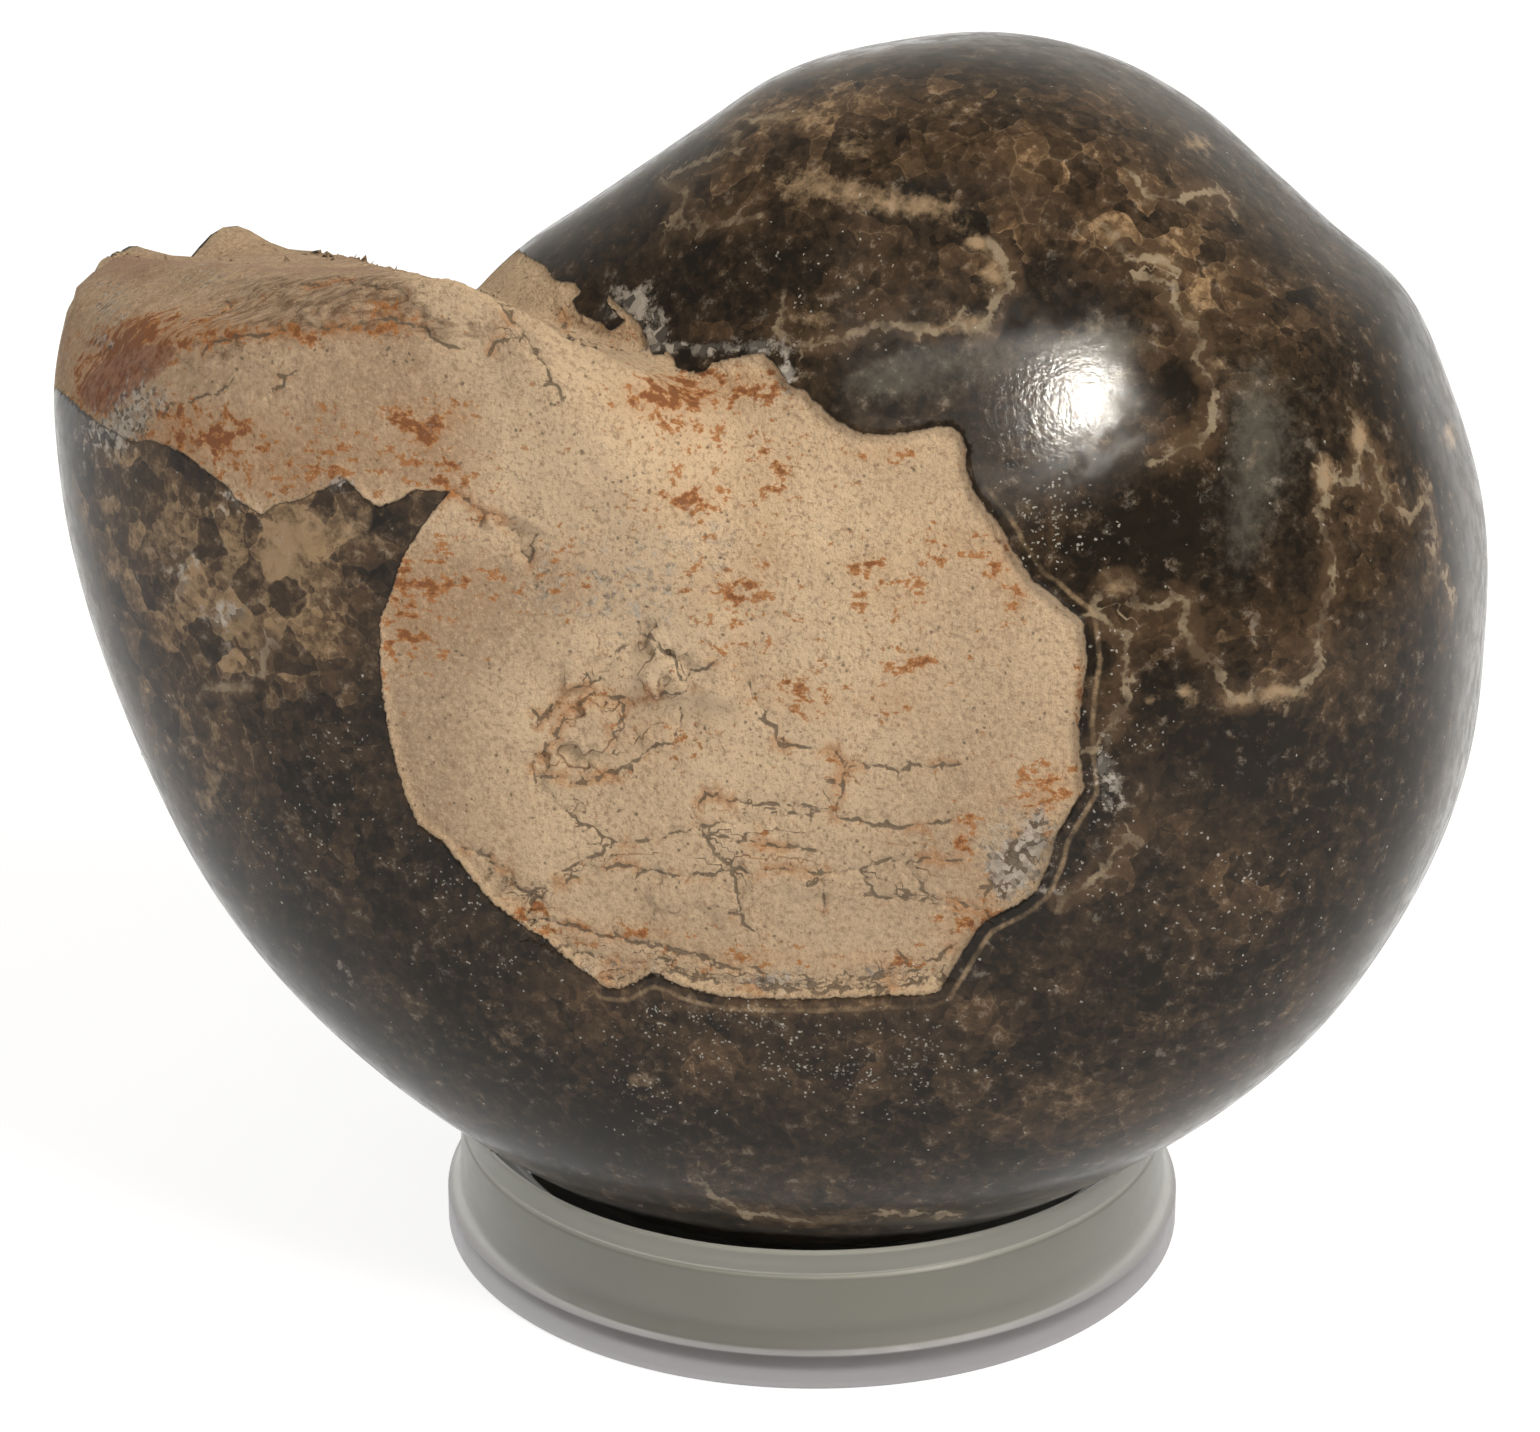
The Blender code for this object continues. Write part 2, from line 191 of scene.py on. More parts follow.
# Soft stains: picture point, half width, half height, strength; below 0 they darken
RUST = (
    (690, 500, 50, 26, 0.75), (770, 470, 40, 30, 0.6), (765, 540, 26, 44, 0.6), (720, 590, 44, 26, 0.7),
    (740, 378, 70, 20, 0.9), (690, 388, 66, 18, 0.8), (650, 402, 34, 18, 0.8), (700, 430, 80, 30, 0.5),
    (172, 425, 26, 26, 1.0), (215, 425, 60, 22, 0.7), (200, 450, 60, 16, 0.7), (452, 415, 26, 16, 0.8),
    (425, 435, 14, 18, 1.0), (405, 415, 12, 14, 0.7), (455, 482, 30, 20, 0.7), (400, 610, 40, 70, 0.75),
    (470, 590, 60, 70, 0.6), (565, 560, 30, 26, 0.5), (590, 600, 30, 20, 0.6), (780, 690, 36, 20, 0.6),
    (820, 712, 36, 16, 0.6), (890, 700, 26, 24, 0.8), (915, 665, 16, 12, 1.0), (1000, 560, 16, 44, 0.9),
    (1020, 600, 12, 24, 1.0), (950, 540, 36, 20, 0.7), (870, 565, 36, 16, 0.6), (900, 600, 40, 16, 0.5),
    (1060, 785, 26, 26, 0.9), (1005, 800, 44, 24, 0.5), (834, 785, 9, 28, 1.0), (962, 850, 12, 34, 1.0),
    (990, 900, 18, 34, 0.9), (955, 930, 36, 18, 0.8), (740, 962, 70, 14, 0.9), (610, 938, 80, 14, 0.9),
    (520, 912, 38, 14, 0.7), (735, 650, 16, 34, 0.5), (650, 745, 60, 26, 0.5), (610, 705, 30, 20, 0.6),
    (880, 965, 60, 14, 0.8), (130, 345, 46, 24, 1.7), (98, 385, 28, 26, 2.4), (190, 325, 70, 20, 0.9),
    (300, 335, 110, 9, 1.0), (380, 315, 34, 14, 0.9), (1080, 690, 8, 44, 0.8), (430, 440, 70, 44, 0.45),
    (300, 450, 90, 44, 0.45), (270, 480, 70, 20, 0.6), (760, 870, 12, 60, 0.4), (380, 560, 20, 44, 0.6),
    (870, 450, 50, 14, 0.7), (620, 325, 20, 16, 0.8), (1040, 820, 16, 34, 0.8), (840, 620, 160, 120, 0.25),
    (600, 480, 60, 60, 0.15),
)
BROWN = (
    (730, 190, 50, 36, 0.9), (740, 130, 30, 14, 0.8), (800, 110, 60, 26, 1.1), (870, 90, 60, 40, 0.9),
    (980, 110, 90, 45, 0.8), (1100, 120, 60, 50, 0.6), (850, 170, 70, 30, 0.8), (930, 250, 80, 36, 0.6),
    (1000, 250, 26, 40, 1.0), (900, 290, 50, 30, 0.4), (1070, 240, 70, 40, 0.9), (1150, 240, 60, 60, 0.9),
    (1210, 300, 50, 50, 0.8), (1060, 170, 90, 30, 0.6), (1170, 440, 50, 24, 0.7), (1150, 350, 24, 30, 0.5),
    (1280, 660, 60, 30, 0.8), (1150, 625, 50, 20, 0.8), (1370, 530, 40, 50, 0.6), (1380, 470, 20, 30, 0.6),
    (1110, 690, 24, 40, 0.6), (1100, 850, 50, 40, 0.8), (1240, 900, 60, 60, 0.6), (1000, 1010, 50, 40, 0.6),
    (860, 1070, 70, 50, 0.6), (700, 1060, 60, 40, 0.7), (600, 1010, 70, 40, 0.6), (1050, 1110, 90, 50, 0.5),
    (800, 1007, 130, 9, 1.6), (650, 992, 60, 8, 1.3), (330, 740, 120, 60, 0.5), (240, 620, 80, 90, 1.5),
    (200, 520, 110, 50, 0.6), (120, 500, 60, 80, 0.5),
    (340, 540, 90, 50, 1.5), (150, 560, 50, 90, 1.0), (300, 640, 60, 60, 0.8), (110, 470, 40, 50, 0.6),
    (230, 780, 40, 60, 0.8), (340, 860, 60, 40, 0.6), (350, 490, 100, 14, 1.1), (720, 330, 60, 16, 0.6),
    (780, 1190, 90, 26, 0.5), (560, 910, 60, 30, 0.4), (160, 700, 60, 60, 0.5), (1300, 330, 50, 60, 0.5),
    (1200, 840, 50, 40, 0.4), (976, 224, 17, 10, -2.0), (1048, 262, 18, 16, -1.1), (1236, 226, 8, 16, -1.0),
    (1062, 230, 20, 9, -0.9), (905, 187, 32, 7, -1.0), (900, 250, 26, 12, -0.6), (1130, 520, 70, 50, -0.5),
    (1185, 385, 20, 20, -0.8), (1250, 760, 60, 60, -0.4), (600, 1150, 120, 50, -0.4),
    (400, 700, 40, 60, -0.4),
)
PALE = (
    (340, 525, 60, 26, 0.7), (270, 560, 24, 40, 0.6), (330, 580, 50, 20, 0.4), (230, 690, 36, 12, 0.6),
    (170, 590, 40, 40, 0.4), (210, 800, 18, 50, 0.6), (170, 750, 16, 16, 0.4), (800, 180, 30, 16, 0.8),
    (845, 190, 34, 13, 0.9), (890, 203, 34, 12, 1.0), (935, 207, 26, 12, 1.0), (965, 228, 16, 14, 0.5),
    (978, 243, 9, 7, 1.6), (995, 275, 16, 22, 1.1), (972, 322, 24, 10, 0.9), (935, 330, 20, 7, 0.8),
    (850, 145, 26, 14, 0.7), (800, 112, 30, 14, 0.7), (760, 120, 30, 8, 0.5), (960, 110, 30, 14, 0.4),
    (810, 318, 22, 10, 0.5), (1283, 692, 26, 8, 1.0), (1240, 700, 16, 6, 0.9), (1325, 478, 9, 18, 1.3),
    (1360, 440, 7, 20, 1.3), (1198, 142, 14, 8, 1.1), (1120, 590, 20, 8, 0.8), (1160, 260, 22, 10, 0.8),
    (1195, 310, 10, 16, 0.6), (1220, 362, 10, 10, 0.6), (1060, 1095, 40, 14, 0.4), (640, 1080, 14, 12, 0.5),
    (500, 1040, 30, 10, 0.3), (370, 650, 20, 20, 0.3), (1450, 435, 10, 12, 1.1), (1150, 700, 6, 6, 0.9),
    (1187, 694, 9, 7, 1.4), (1253, 440, 4, 26, 0.9), (1080, 330, 30, 7, 0.7),
)
GREY = (
    (632, 300, 24, 18, 1.0), (656, 330, 16, 20, 1.0), (700, 348, 46, 7, 1.0), (765, 345, 26, 8, 0.9),
    (786, 372, 9, 18, 1.0), (1018, 858, 28, 34, 1.3), (1005, 885, 18, 18, 1.0), (1040, 830, 14, 20, 0.8),
    (135, 405, 30, 30, 0.9), (120, 430, 20, 14, 0.7), (335, 486, 18, 10, 0.9), (230, 500, 20, 16, 0.5),
    (570, 580, 60, 50, 0.35), (640, 600, 50, 40, 0.4), (700, 545, 50, 30, 0.3), (430, 420, 20, 14, 0.3),
    (225, 612, 22, 20, 0.7), (180, 565, 20, 25, 0.6), (1110, 790, 16, 30, 0.7), (1100, 760, 10, 20, 0.7),
    (95, 440, 24, 30, 0.5), (110, 300, 20, 30, 0.6), (95, 340, 16, 12, 0.7), (210, 275, 40, 14, 0.5),
    (780, 985, 40, 10, 0.8), (880, 975, 30, 8, 0.7), (620, 972, 40, 8, 0.6), (345, 985, 10, 30, 0.2),
)
SPECKS = (
    (1050, 530, 50, 50, 1.0), (1030, 500, 30, 30, 1.0), (450, 870, 40, 50, 0.8), (500, 960, 60, 30, 0.6),
    (800, 1050, 160, 40, 1.0), (700, 1020, 50, 20, 0.8), (1100, 690, 60, 60, 0.6), (1110, 770, 30, 40, 0.8),
    (350, 740, 50, 40, 0.5), (310, 830, 60, 60, 0.4), (640, 1080, 40, 30, 0.8), (820, 280, 60, 60, 0.4),
    (900, 1070, 60, 40, 0.8), (1230, 900, 80, 80, 0.4), (1080, 860, 40, 40, 0.5),
)
# Brightest point of the shoulder
HIGHLIGHT = (1090.0, 402.0)
# Polished band of the shoulder's flat, and the line above which nothing of it shows
SHEEN = ((900, 395, 60, 34, 0.8), (990, 390, 80, 54, 1.0), (1080, 385, 70, 64, 1.0), (1010, 450, 50, 40, 0.8))
SHEEN_TOP = (
    (820, 400), (860, 368), (900, 348), (960, 336), (1020, 328), (1080, 318), (1140, 312), (1200, 312),
)
# Painted sheen of the shoulder, where a light line follows the pale middle, and where the dark stone is matt
PAINTED_SHEEN = (
    (1255, 440, 30, 80, 1.0), (1240, 540, 26, 50, 0.6), (1000, 360, 110, 26, 0.7), (1115, 340, 40, 22, 0.9),
    (890, 380, 60, 24, 0.9), (1300, 440, 50, 60, 0.3),
)
OVERHANG = (
    (1000, 540, 30, 40, 1.0), (1060, 605, 40, 30, 1.0), (1095, 680, 24, 60, 1.0), (1092, 780, 24, 50, 1.0),
    (1060, 870, 30, 50, 1.0), (1000, 930, 40, 36, 1.0), (965, 985, 30, 30, 0.9), (640, 1000, 90, 20, 0.8),
    (790, 1012, 100, 16, 0.8),
)
MATT = ((1010, 235, 210, 66, 1.0), (1230, 330, 60, 60, 0.7))
# Broken end: where its layers show, and the outline of its browner limestone
LAYERS = (
    (310, 292, 90, 20, 1.3), (290, 325, 110, 14, 1.0), (380, 300, 30, 26, 1.0), (440, 330, 40, 12, 0.7),
    (200, 350, 50, 20, 0.6), (540, 350, 20, 26, 0.5),
)
LOBE = (
    (385, 270), (425, 330), (455, 380), (480, 430), (482, 475), (448, 492), (300, 520), (20, 480),
    (10, 180), (385, 180),
)
ROUND_RIM = (
    (120, 262, 60, 26, 1.0), (240, 244, 70, 22, 1.0), (340, 262, 80, 12, 0.7), (64, 330, 22, 60, 0.8),
)

# Where the limestone has flaked, and the red-brown block of the broken end
FLAKED = (
    (620, 700, 84, 56, 1.0), (570, 765, 50, 34, 0.9), (650, 640, 50, 26, 0.7), (690, 905, 210, 46, 0.5),
    (590, 320, 40, 30, 0.7), (510, 530, 40, 40, 0.6), (1030, 850, 30, 50, 0.8), (340, 300, 120, 24, 0.6),
)
BLOCK = ((77, 381), (99, 359), (142, 341), (178, 347), (158, 374), (126, 399), (103, 416), (80, 406))

# Painted shade: the limestone darkened towards its sides and bottom, away from its lit middle
PAINTED_SHADE = (
    (990, 640, 110, 220, 0.55), (960, 850, 120, 120, 0.5), (690, 930, 260, 90, 0.6), (420, 760, 80, 160, 0.9),
    (440, 600, 70, 70, 0.8), (530, 620, 60, 60, 0.5), (560, 580, 70, 40, 0.5), (510, 340, 40, 60, 0.7),
    (600, 780, 90, 60, 0.4), (880, 470, 80, 40, 0.3), (610, 340, 60, 40, 0.6), (740, 400, 100, 30, 0.4),
)

# Stains that the material reads, by name, among them the painted shade of the limestone
STAIN_TABLES = {
    "rust": RUST, "brown": BROWN, "pale": PALE, "grey": GREY, "speck": SPECKS, "matt": MATT, "painted_shade": PAINTED_SHADE,
    "layers": LAYERS, "round_rim": ROUND_RIM, "overhang": OVERHANG, "flaked": FLAKED,
}

# Crystals of the dark stone, the light line beside the pale middle and the ring's groove, in mm
PLATE_SIZE = 3.4
CHIP_SIZE = 0.95
SPECK_SIZE = 0.19
LIP_AWAY = 1.1
GROOVE_HEIGHT = 11.35

# Optics of the finishes
STONE_IOR = 1.5
STONE_SPECULAR = 0.21
POLISHED_ROUGHNESS = 0.06
ACRYLIC_IOR = 1.49

# Relief: noises as size, seed and octaves, and depths in mm
GRAIN_NOISES = ((1.5, 5.0, 3), (5.0, 9.0, 1))
LAYER_NOISES = ((2.4, 3.0, 3), (5.0, 7.0, 1))
FLAKE_NOISE = (4.5, 31.0, 3)
SKIN_NOISE = (9.0, 21.0)
SKIN_DEPTH = 0.03
LAYER_DEPTH = 0.3
BREAK_LEDGE = 0.2
HIDDEN_LEDGE = 0.5
CRACK_REACH = 0.25
NO_CRACK = 9.0
CLEARANCE = 0.06
BOX_MARGIN = 0.02

# Drawn lines: how far each kind wobbles, in picture points, and its row of the noise. Without a seed
# the noise would follow the clock and differ from run to run.
LINE_NAMES = ("edge", "suture", "crack", "far")
WOBBLES = ((1.6, 11.0), (4.6, 23.0), (5.5, 37.0))
WOBBLE_SEED = 1795639466

# Longest edge of the coarse stone, and the passes of finer faces: reach round the lines, longest edge
# near them and longest edge on the limestone, in mm
COARSE_EDGE = 1.6
PASSES = ((2.4, 0.85, 0.95), (1.2, 0.6, 1.1), (0.6, 0.45, 1.3))
FLAKED_EDGE = 0.85

# Studio: the key light's place, size and power, and the shoulder's lights as distance, size and power
KEY_LIGHT = ((500.0, -500.0, 900.0), 400.0, 11.5)
SHOULDER_LIGHTS = {"shoulder_light": (900.0, 11.0, 0.15), "shoulder_panel": (905.0, 110.0, 0.045)}
LIGHT_COLOUR = (1.0, 0.95, 0.86)
ROOM_COLOUR = (1.0, 0.96, 0.87, 1.0)
ROOM_LEVELS = (0.42, 0.66)
FLOOR_GLOW = 0.85

# Clear ring: radius and height in mm, and how far each corner is rounded
RING_PROFILE = (
    (30.0, 0.0, 0.2), (36.1, 0.0, 0.1), (36.4, 0.3, 0.1), (36.4, 3.6, 0.15), (35.9, 4.1, 0.15),
    (35.1, 5.6, 0.6), (34.9, 10.9, 0.15), (34.5, 11.3, 0.1), (34.9, 11.7, 0.15), (34.8, 13.6, 0.15),
    (34.4, 13.9, 0.15), (30.3, 10.2, 0.3), (30.0, 9.8, 0.1),
)


def ramp(value, low, high):
    """Smooth step from 0 at low to 1 at high."""
    share = np.clip((value - low) / (high - low), 0.0, 1.0)
    return share * share * (3.0 - 2.0 * share)


def curve(stations, at):
    """Smooth curve through the stations, by cubic pieces with averaged slopes."""
    xs = np.array([s[0] for s in stations], float)
    ys = np.array([s[1] for s in stations], float)
    slope = np.gradient(ys, xs)
    k = np.clip(np.searchsorted(xs, at) - 1, 0, len(xs) - 2)
    width = xs[k + 1] - xs[k]
    t = np.clip((at - xs[k]) / width, 0.0, 1.0)
    start = (1 + 2 * t) * (1 - t) ** 2 * ys[k] + t * (1 - t) ** 2 * width * slope[k]
    end = t * t * (3 - 2 * t) * ys[k + 1] + t * t * (t - 1) * width * slope[k + 1]
    return start + end


def coil_angles(local):
    """Angle round the coil and angle from its axis, in degrees, of unit directions."""
    turn = np.degrees(np.arctan2(local[:, 1], local[:, 0]))
    return turn, np.degrees(np.arccos(np.clip(local[:, 2], -1.0, 1.0)))


def coil_axes():
    """Right, up and near axes of the coil as rows."""
    near = Vector(COIL_AXIS).normalized()
    up = (Vector((0, 0, 1)) - near.z * near).normalized()
    return np.array([up.cross(near), up, near])


AXES = coil_axes()


def soft_min(a, b, size):
    """Smaller of two lengths, with the meeting rounded over a size in mm."""
    mix = np.clip(0.5 + 0.5 * (b - a) / size, 0.0, 1.0)
    return b + (a - b) * mix - size * mix * (1.0 - mix)


def whorl(growth, out, along, from_pole):
    """Distance to the coil's surface at a growth angle, levelled out near the axis."""
    share = ramp(from_pole, *PLUG_SPAN)
    half_width = PLUG_LEVEL + (curve(HALF_WIDTH, growth) - PLUG_LEVEL) * share
    radius = curve(SPIRAL, growth)
    power = SECTION_POWER
    return ((out / radius) ** power + (np.abs(along) / half_width) ** power) ** (-1 / power)


def flat(local, cut):
    """Distance along a unit direction to a flat."""
    return cut[3] / np.maximum(local @ np.array(cut[:3]), 0.05)


def body_radius(local):
    """Distance from the coil's centre to the stone, and how deep the break cuts in there, in mm."""
    turn, colat = coil_angles(local)
    out = np.sin(np.radians(colat))
    along = local[:, 2]
    from_pole = np.minimum(colat, 180.0 - colat)
    bend = ramp(from_pole, *SEAM_BEND)
    seam = SEAM_AT_PLUG + (NOTCH_ANGLE - SEAM_AT_PLUG) * bend
    past = (turn - seam + 180.0) % 360.0 - 180.0
    growth = GROWTH_START - seam - past
    whole = whorl(growth + 360.0, out, along, from_pole)
    last = whole
    for cut in BREAKS:
        last = soft_min(last, flat(local, cut), BREAK_ROUND)
    earlier = whorl(np.maximum(growth, SPIRAL[0][0]), out, along, from_pole)
    earlier = soft_min(earlier, flat(local, SHOULDER_FACET), FACET_ROUND)
    slope = SEAM_SLOPE[0] + SEAM_SLOPE[1] * ramp(90.0 - from_pole, 0.0, 50.0)
    share = ramp(past, -slope, 0.0)
    foot = SEAM_ROUND[0] + (SEAM_ROUND[1] - SEAM_ROUND[0]) * bend
    rise = -soft_min(earlier - last, 0.0, foot)
    return earlier + rise * share, (whole - last) * share * ramp(last - earlier, -1.0, 1.0)


def noise_at(points, size, seed=0.0, octaves=1):
    """Noise of about -1 to 1 at each point, with features of a size in mm."""
    shift = Vector((seed, 0.0, 0.0))
    if octaves == 1:
        return np.array([noise.noise(Vector(p) / size + shift) for p in points])
    return np.array([noise.fractal(Vector(p) / size + shift, 1.0, 2.0, octaves) for p in points])


def smooth_surface(directions):
    """Stone's surface without its relief: points in mm, their coil coordinates and the break's depth."""
    local = directions @ AXES.T
    radius, cut = body_radius(local)
    return directions * radius[:, None] + COIL_CENTRE, local * radius[:, None], cut


def knob_rise(place):
    """Upward shift that raises the knobs of the broken end, at each place in coil coordinates."""
    rise = np.zeros(len(place))
    for right, up, near, height, spread in LUMPS:
        away = np.linalg.norm(place - (right, up, near), axis=1)
        rise += height * np.exp(-((away / spread) ** 2))
    return rise[:, None] * AXES[1]


def to_picture(points):
    """Picture coordinates of points in mm."""
    forward = np.array((0.0, math.cos(ELEVATION), -math.sin(ELEVATION)))
    upward = np.array((0.0, math.sin(ELEVATION), math.cos(ELEVATION)))
    offset = points - LOOK_AT
    depth = DISTANCE + offset @ forward
    scale = PICTURE[0] * LENS / SENSOR / depth
    return np.stack([PICTURE[0] / 2 + scale * offset[:, 0], PICTURE[1] / 2 - scale * (offset @ upward)], 1)


def camera_place():
    """Camera's place in mm."""
    back = np.array((0.0, -math.cos(ELEVATION), math.sin(ELEVATION)))
    return LOOK_AT + DISTANCE * back


def picture_ray(x, y):
    """Direction from the camera through a picture point."""
    forward = np.array((0.0, math.cos(ELEVATION), -math.sin(ELEVATION)))
    upward = np.array((0.0, math.sin(ELEVATION), math.cos(ELEVATION)))
    scale = SENSOR / LENS / PICTURE[0]
    ray = forward + (1.0, 0.0, 0.0) * np.array((x - PICTURE[0] / 2) * scale)
    ray = ray - upward * (y - PICTURE[1] / 2) * scale
    return ray / np.linalg.norm(ray)


def ragged(points, wobble, seed):
    """Line through picture points at short even steps, with a small wobble."""
    pts = np.array(points, float)
    at = np.concatenate([[0.0], np.cumsum(np.linalg.norm(np.diff(pts, axis=0), axis=1))])
    steps = np.linspace(0.0, at[-1], max(3, int(at[-1] / 2.5)))
    line = np.stack([np.interp(steps, at, pts[:, k]) for k in (0, 1)], 1)
    for size, share in ((18.0, 0.9), (7.0, 0.6), (3.2, 0.4)):
        shake = [noise.noise_vector(Vector((s / size, seed, 0.0)))[:2] for s in steps]
        line += np.array(shake) * wobble * share
    return line


def project_lines(tree, lines, wobble, seed):
    """Drops picture lines on the stone: points and directions to their side."""
    eye = Vector(camera_place())
    spots, sides = [], []
    for number, points in enumerate(lines):
        found = []
        for x, y in ragged(points, wobble, seed + 3.7 * number):
            place, normal, _, _ = tree.ray_cast(eye, Vector(picture_ray(x, y)))
            found.append(None if place is None else (np.array(place), np.array(normal)))
        for this, after in zip(found, found[1:]):
            if this is None or after is None:
                continue
            along = after[0] - this[0]
            if not 0.01 < np.linalg.norm(along) < 3.0:
                continue
            along /= np.linalg.norm(along)
            spots.append(this[0])
            sides.append(np.cross(this[1], along))
    return np.array(spots), np.array(sides)


def line_distance(lines, points):
    """Distance to the side of the nearest line, signed, and plain distance, in mm."""
    spots, sides = lines
    tree = KDTree(len(spots))
    for k, spot in enumerate(spots):
        tree.insert(spot, k)
    tree.balance()
    near = [tree.find(p)[1:] for p in points]
    index = np.array([n[0] for n in near])
    plain = np.array([n[1] for n in near])
    signed = np.einsum("ij,ij->i", points - spots[index], sides[index])
    return signed, plain


def inside(polygon, spots):
    """Whether each picture point lies inside the polygon."""
    result = np.zeros(len(spots), bool)
    x, y = spots[:, 0], spots[:, 1]
    for (x0, y0), (x1, y1) in zip(polygon, polygon[1:] + polygon[:1]):
        crosses = (y0 > y) != (y1 > y)
        reach = x0 + (y - y0) * (x1 - x0) / (y1 - y0 if y1 != y0 else 1.0)
        result ^= crosses & (x < reach)
    return result


def soft_inside(polygon, spots, reach):
    """Share of a small ring round each picture point that lies inside the polygon."""
    turns = np.radians(np.arange(0.0, 360.0, 45.0))
    shifts = reach * np.stack([np.cos(turns), np.sin(turns)], 1)
    return np.mean([inside(polygon, spots + shift) for shift in shifts], axis=0)


def above_line(line, spots):
    """How far each picture point lies above a line that runs from left to right."""
    xs, ys = np.array(line, float).T
    return np.interp(spots[:, 0], xs, ys) - spots[:, 1]


def stains(table, spots):
    """Sum of the soft stains at each picture point."""
    total = np.zeros(len(spots))
    for x, y, width, height, strength in table:
        away = ((spots[:, 0] - x) / width) ** 2 + ((spots[:, 1] - y) / height) ** 2
        total += strength * np.exp(-away)
    return total


def far_sutures():
    """Frilled lines of the hidden sides, in coil coordinates, as points on the smooth stone."""
    spots, sides = [], []
    for number, turn in enumerate(range(-200, 130, 27)):
        colat = np.arange(64.0, 150.0, 0.25)
        lobe = 7.0 * np.sin(colat / 9.5 + 0.6 * number) + 3.0 * np.sin(colat / 4.1 + 1.7 * number)
        frill = 1.6 * np.abs(np.sin(colat / 1.3 + number)) + 0.7 * np.sin(colat / 0.55)
        angle = np.radians(turn + lobe + frill)
        ring = np.sin(np.radians(colat))
        local = np.stack([ring * np.cos(angle), ring * np.sin(angle), np.cos(np.radians(colat))], 1)
        points, _, _ = smooth_surface(local @ AXES)
        along = np.diff(points, axis=0)
        along /= np.linalg.norm(along, axis=1)[:, None]
        outward = points[:-1] - COIL_CENTRE
        outward /= np.linalg.norm(outward, axis=1)[:, None]
        spots.append(points[:-1])
        sides.append(np.cross(outward, along))
    return np.vstack(spots), np.vstack(sides)


def far_limestone(turn, colat, cut):
    """How far inside the limestone each place of the hidden sides lies, in mm, below 0 outside it."""
    waves = 3.0 * np.sin(np.radians(turn) * 3.0) + 1.5 * np.sin(np.radians(turn) * 7.0)
    plug = (colat - 142.0 - waves) * 0.75
    return np.maximum(np.clip(cut * 1.6 - 0.5, -4.0, 4.0), plug)


def set_mode(item, mode):
    """Makes one object active and selected and changes its mode."""
    if bpy.context.object and bpy.context.object.mode != "OBJECT":
        bpy.ops.object.mode_set(mode="OBJECT")
    bpy.ops.object.select_all(action="DESELECT")
    item.select_set(True)
    bpy.context.view_layer.objects.active = item
    bpy.ops.object.mode_set(mode=mode)


def vertex_places(mesh):
    """Vertex places in mm."""
    places = np.empty(len(mesh.vertices) * 3)
    mesh.vertices.foreach_get("co", places)
    return places.reshape(-1, 3) / MM


def place_vertices(mesh, places):
    """Moves the vertices to places in mm."""
    mesh.vertices.foreach_set("co", (places * MM).ravel())
    mesh.update()


def directions_of(mesh):
    """Unit directions from the coil's centre to the vertices."""
    offset = vertex_places(mesh) - COIL_CENTRE
    return offset / np.linalg.norm(offset, axis=1)[:, None]


def split_edges(item, wanted):
    """Halves the edges whose middles the rule wants, and puts the new points on the stone."""
    mesh = item.data
    ends = np.empty(len(mesh.edges) * 2, int)
    mesh.edges.foreach_get("vertices", ends)
    ends = ends.reshape(-1, 2)
    places = vertex_places(mesh)
    middle = (places[ends[:, 0]] + places[ends[:, 1]]) / 2
    length = np.linalg.norm(places[ends[:, 0]] - places[ends[:, 1]], axis=1)
    chosen = wanted(middle, length)
    mesh.vertices.foreach_set("select", np.zeros(len(mesh.vertices), bool))
    mesh.polygons.foreach_set("select", np.zeros(len(mesh.polygons), bool))
    mesh.edges.foreach_set("select", chosen)
    set_mode(item, "EDIT")
    bpy.context.tool_settings.mesh_select_mode = (False, True, False)
    bpy.ops.mesh.subdivide(number_cuts=1)
    bpy.ops.mesh.select_all(action="SELECT")
    bpy.ops.mesh.quads_convert_to_tris(quad_method="SHORTEST_DIAGONAL", ngon_method="BEAUTY")
    bpy.ops.object.mode_set(mode="OBJECT")
    points, _, _ = smooth_surface(directions_of(item.data))
    place_vertices(item.data, points)


def mesh_tree(mesh):
    """Search tree of the mesh's faces, in mm."""
    places = [Vector(p) for p in vertex_places(mesh)]
    return BVHTree.FromPolygons(places, [p.vertices[:] for p in mesh.polygons])


def seen(mesh, tree):
    """Whether the camera sees each vertex."""
    places = vertex_places(mesh)
    normals = np.empty(len(mesh.vertices) * 3)
    mesh.vertices.foreach_get("normal", normals)
    normals = normals.reshape(-1, 3)
    view = camera_place() - places
    view /= np.linalg.norm(view, axis=1)[:, None]
    faces_it = np.einsum("ij,ij->i", normals, view) > 0.03
    result = faces_it.copy()
    for k in np.flatnonzero(faces_it):
        hit = tree.ray_cast(Vector(places[k] + 0.4 * view[k]), Vector(view[k]))
        result[k] = hit[0] is None
    return result


def store(mesh, name, values):
    """Keeps one number per vertex under a name that the material reads."""
    layer = mesh.attributes.new(name, "FLOAT", "POINT")
    layer.data.foreach_set("value", np.asarray(values, np.float32))


class Wire:
    """Number or colour on a node board, so that the finishes read as plain sums."""

    def __init__(self, board, socket):
        self.board, self.socket = board, socket

    def __add__(self, other):
        return self.board.math("ADD", self, other)

    def __sub__(self, other):
        return self.board.math("SUBTRACT", self, other)

    def __rsub__(self, other):
        return self.board.math("SUBTRACT", other, self)

    def __mul__(self, other):
        return self.board.math("MULTIPLY", self, other)

    def __abs__(self):
        return self.board.math("ABSOLUTE", self)


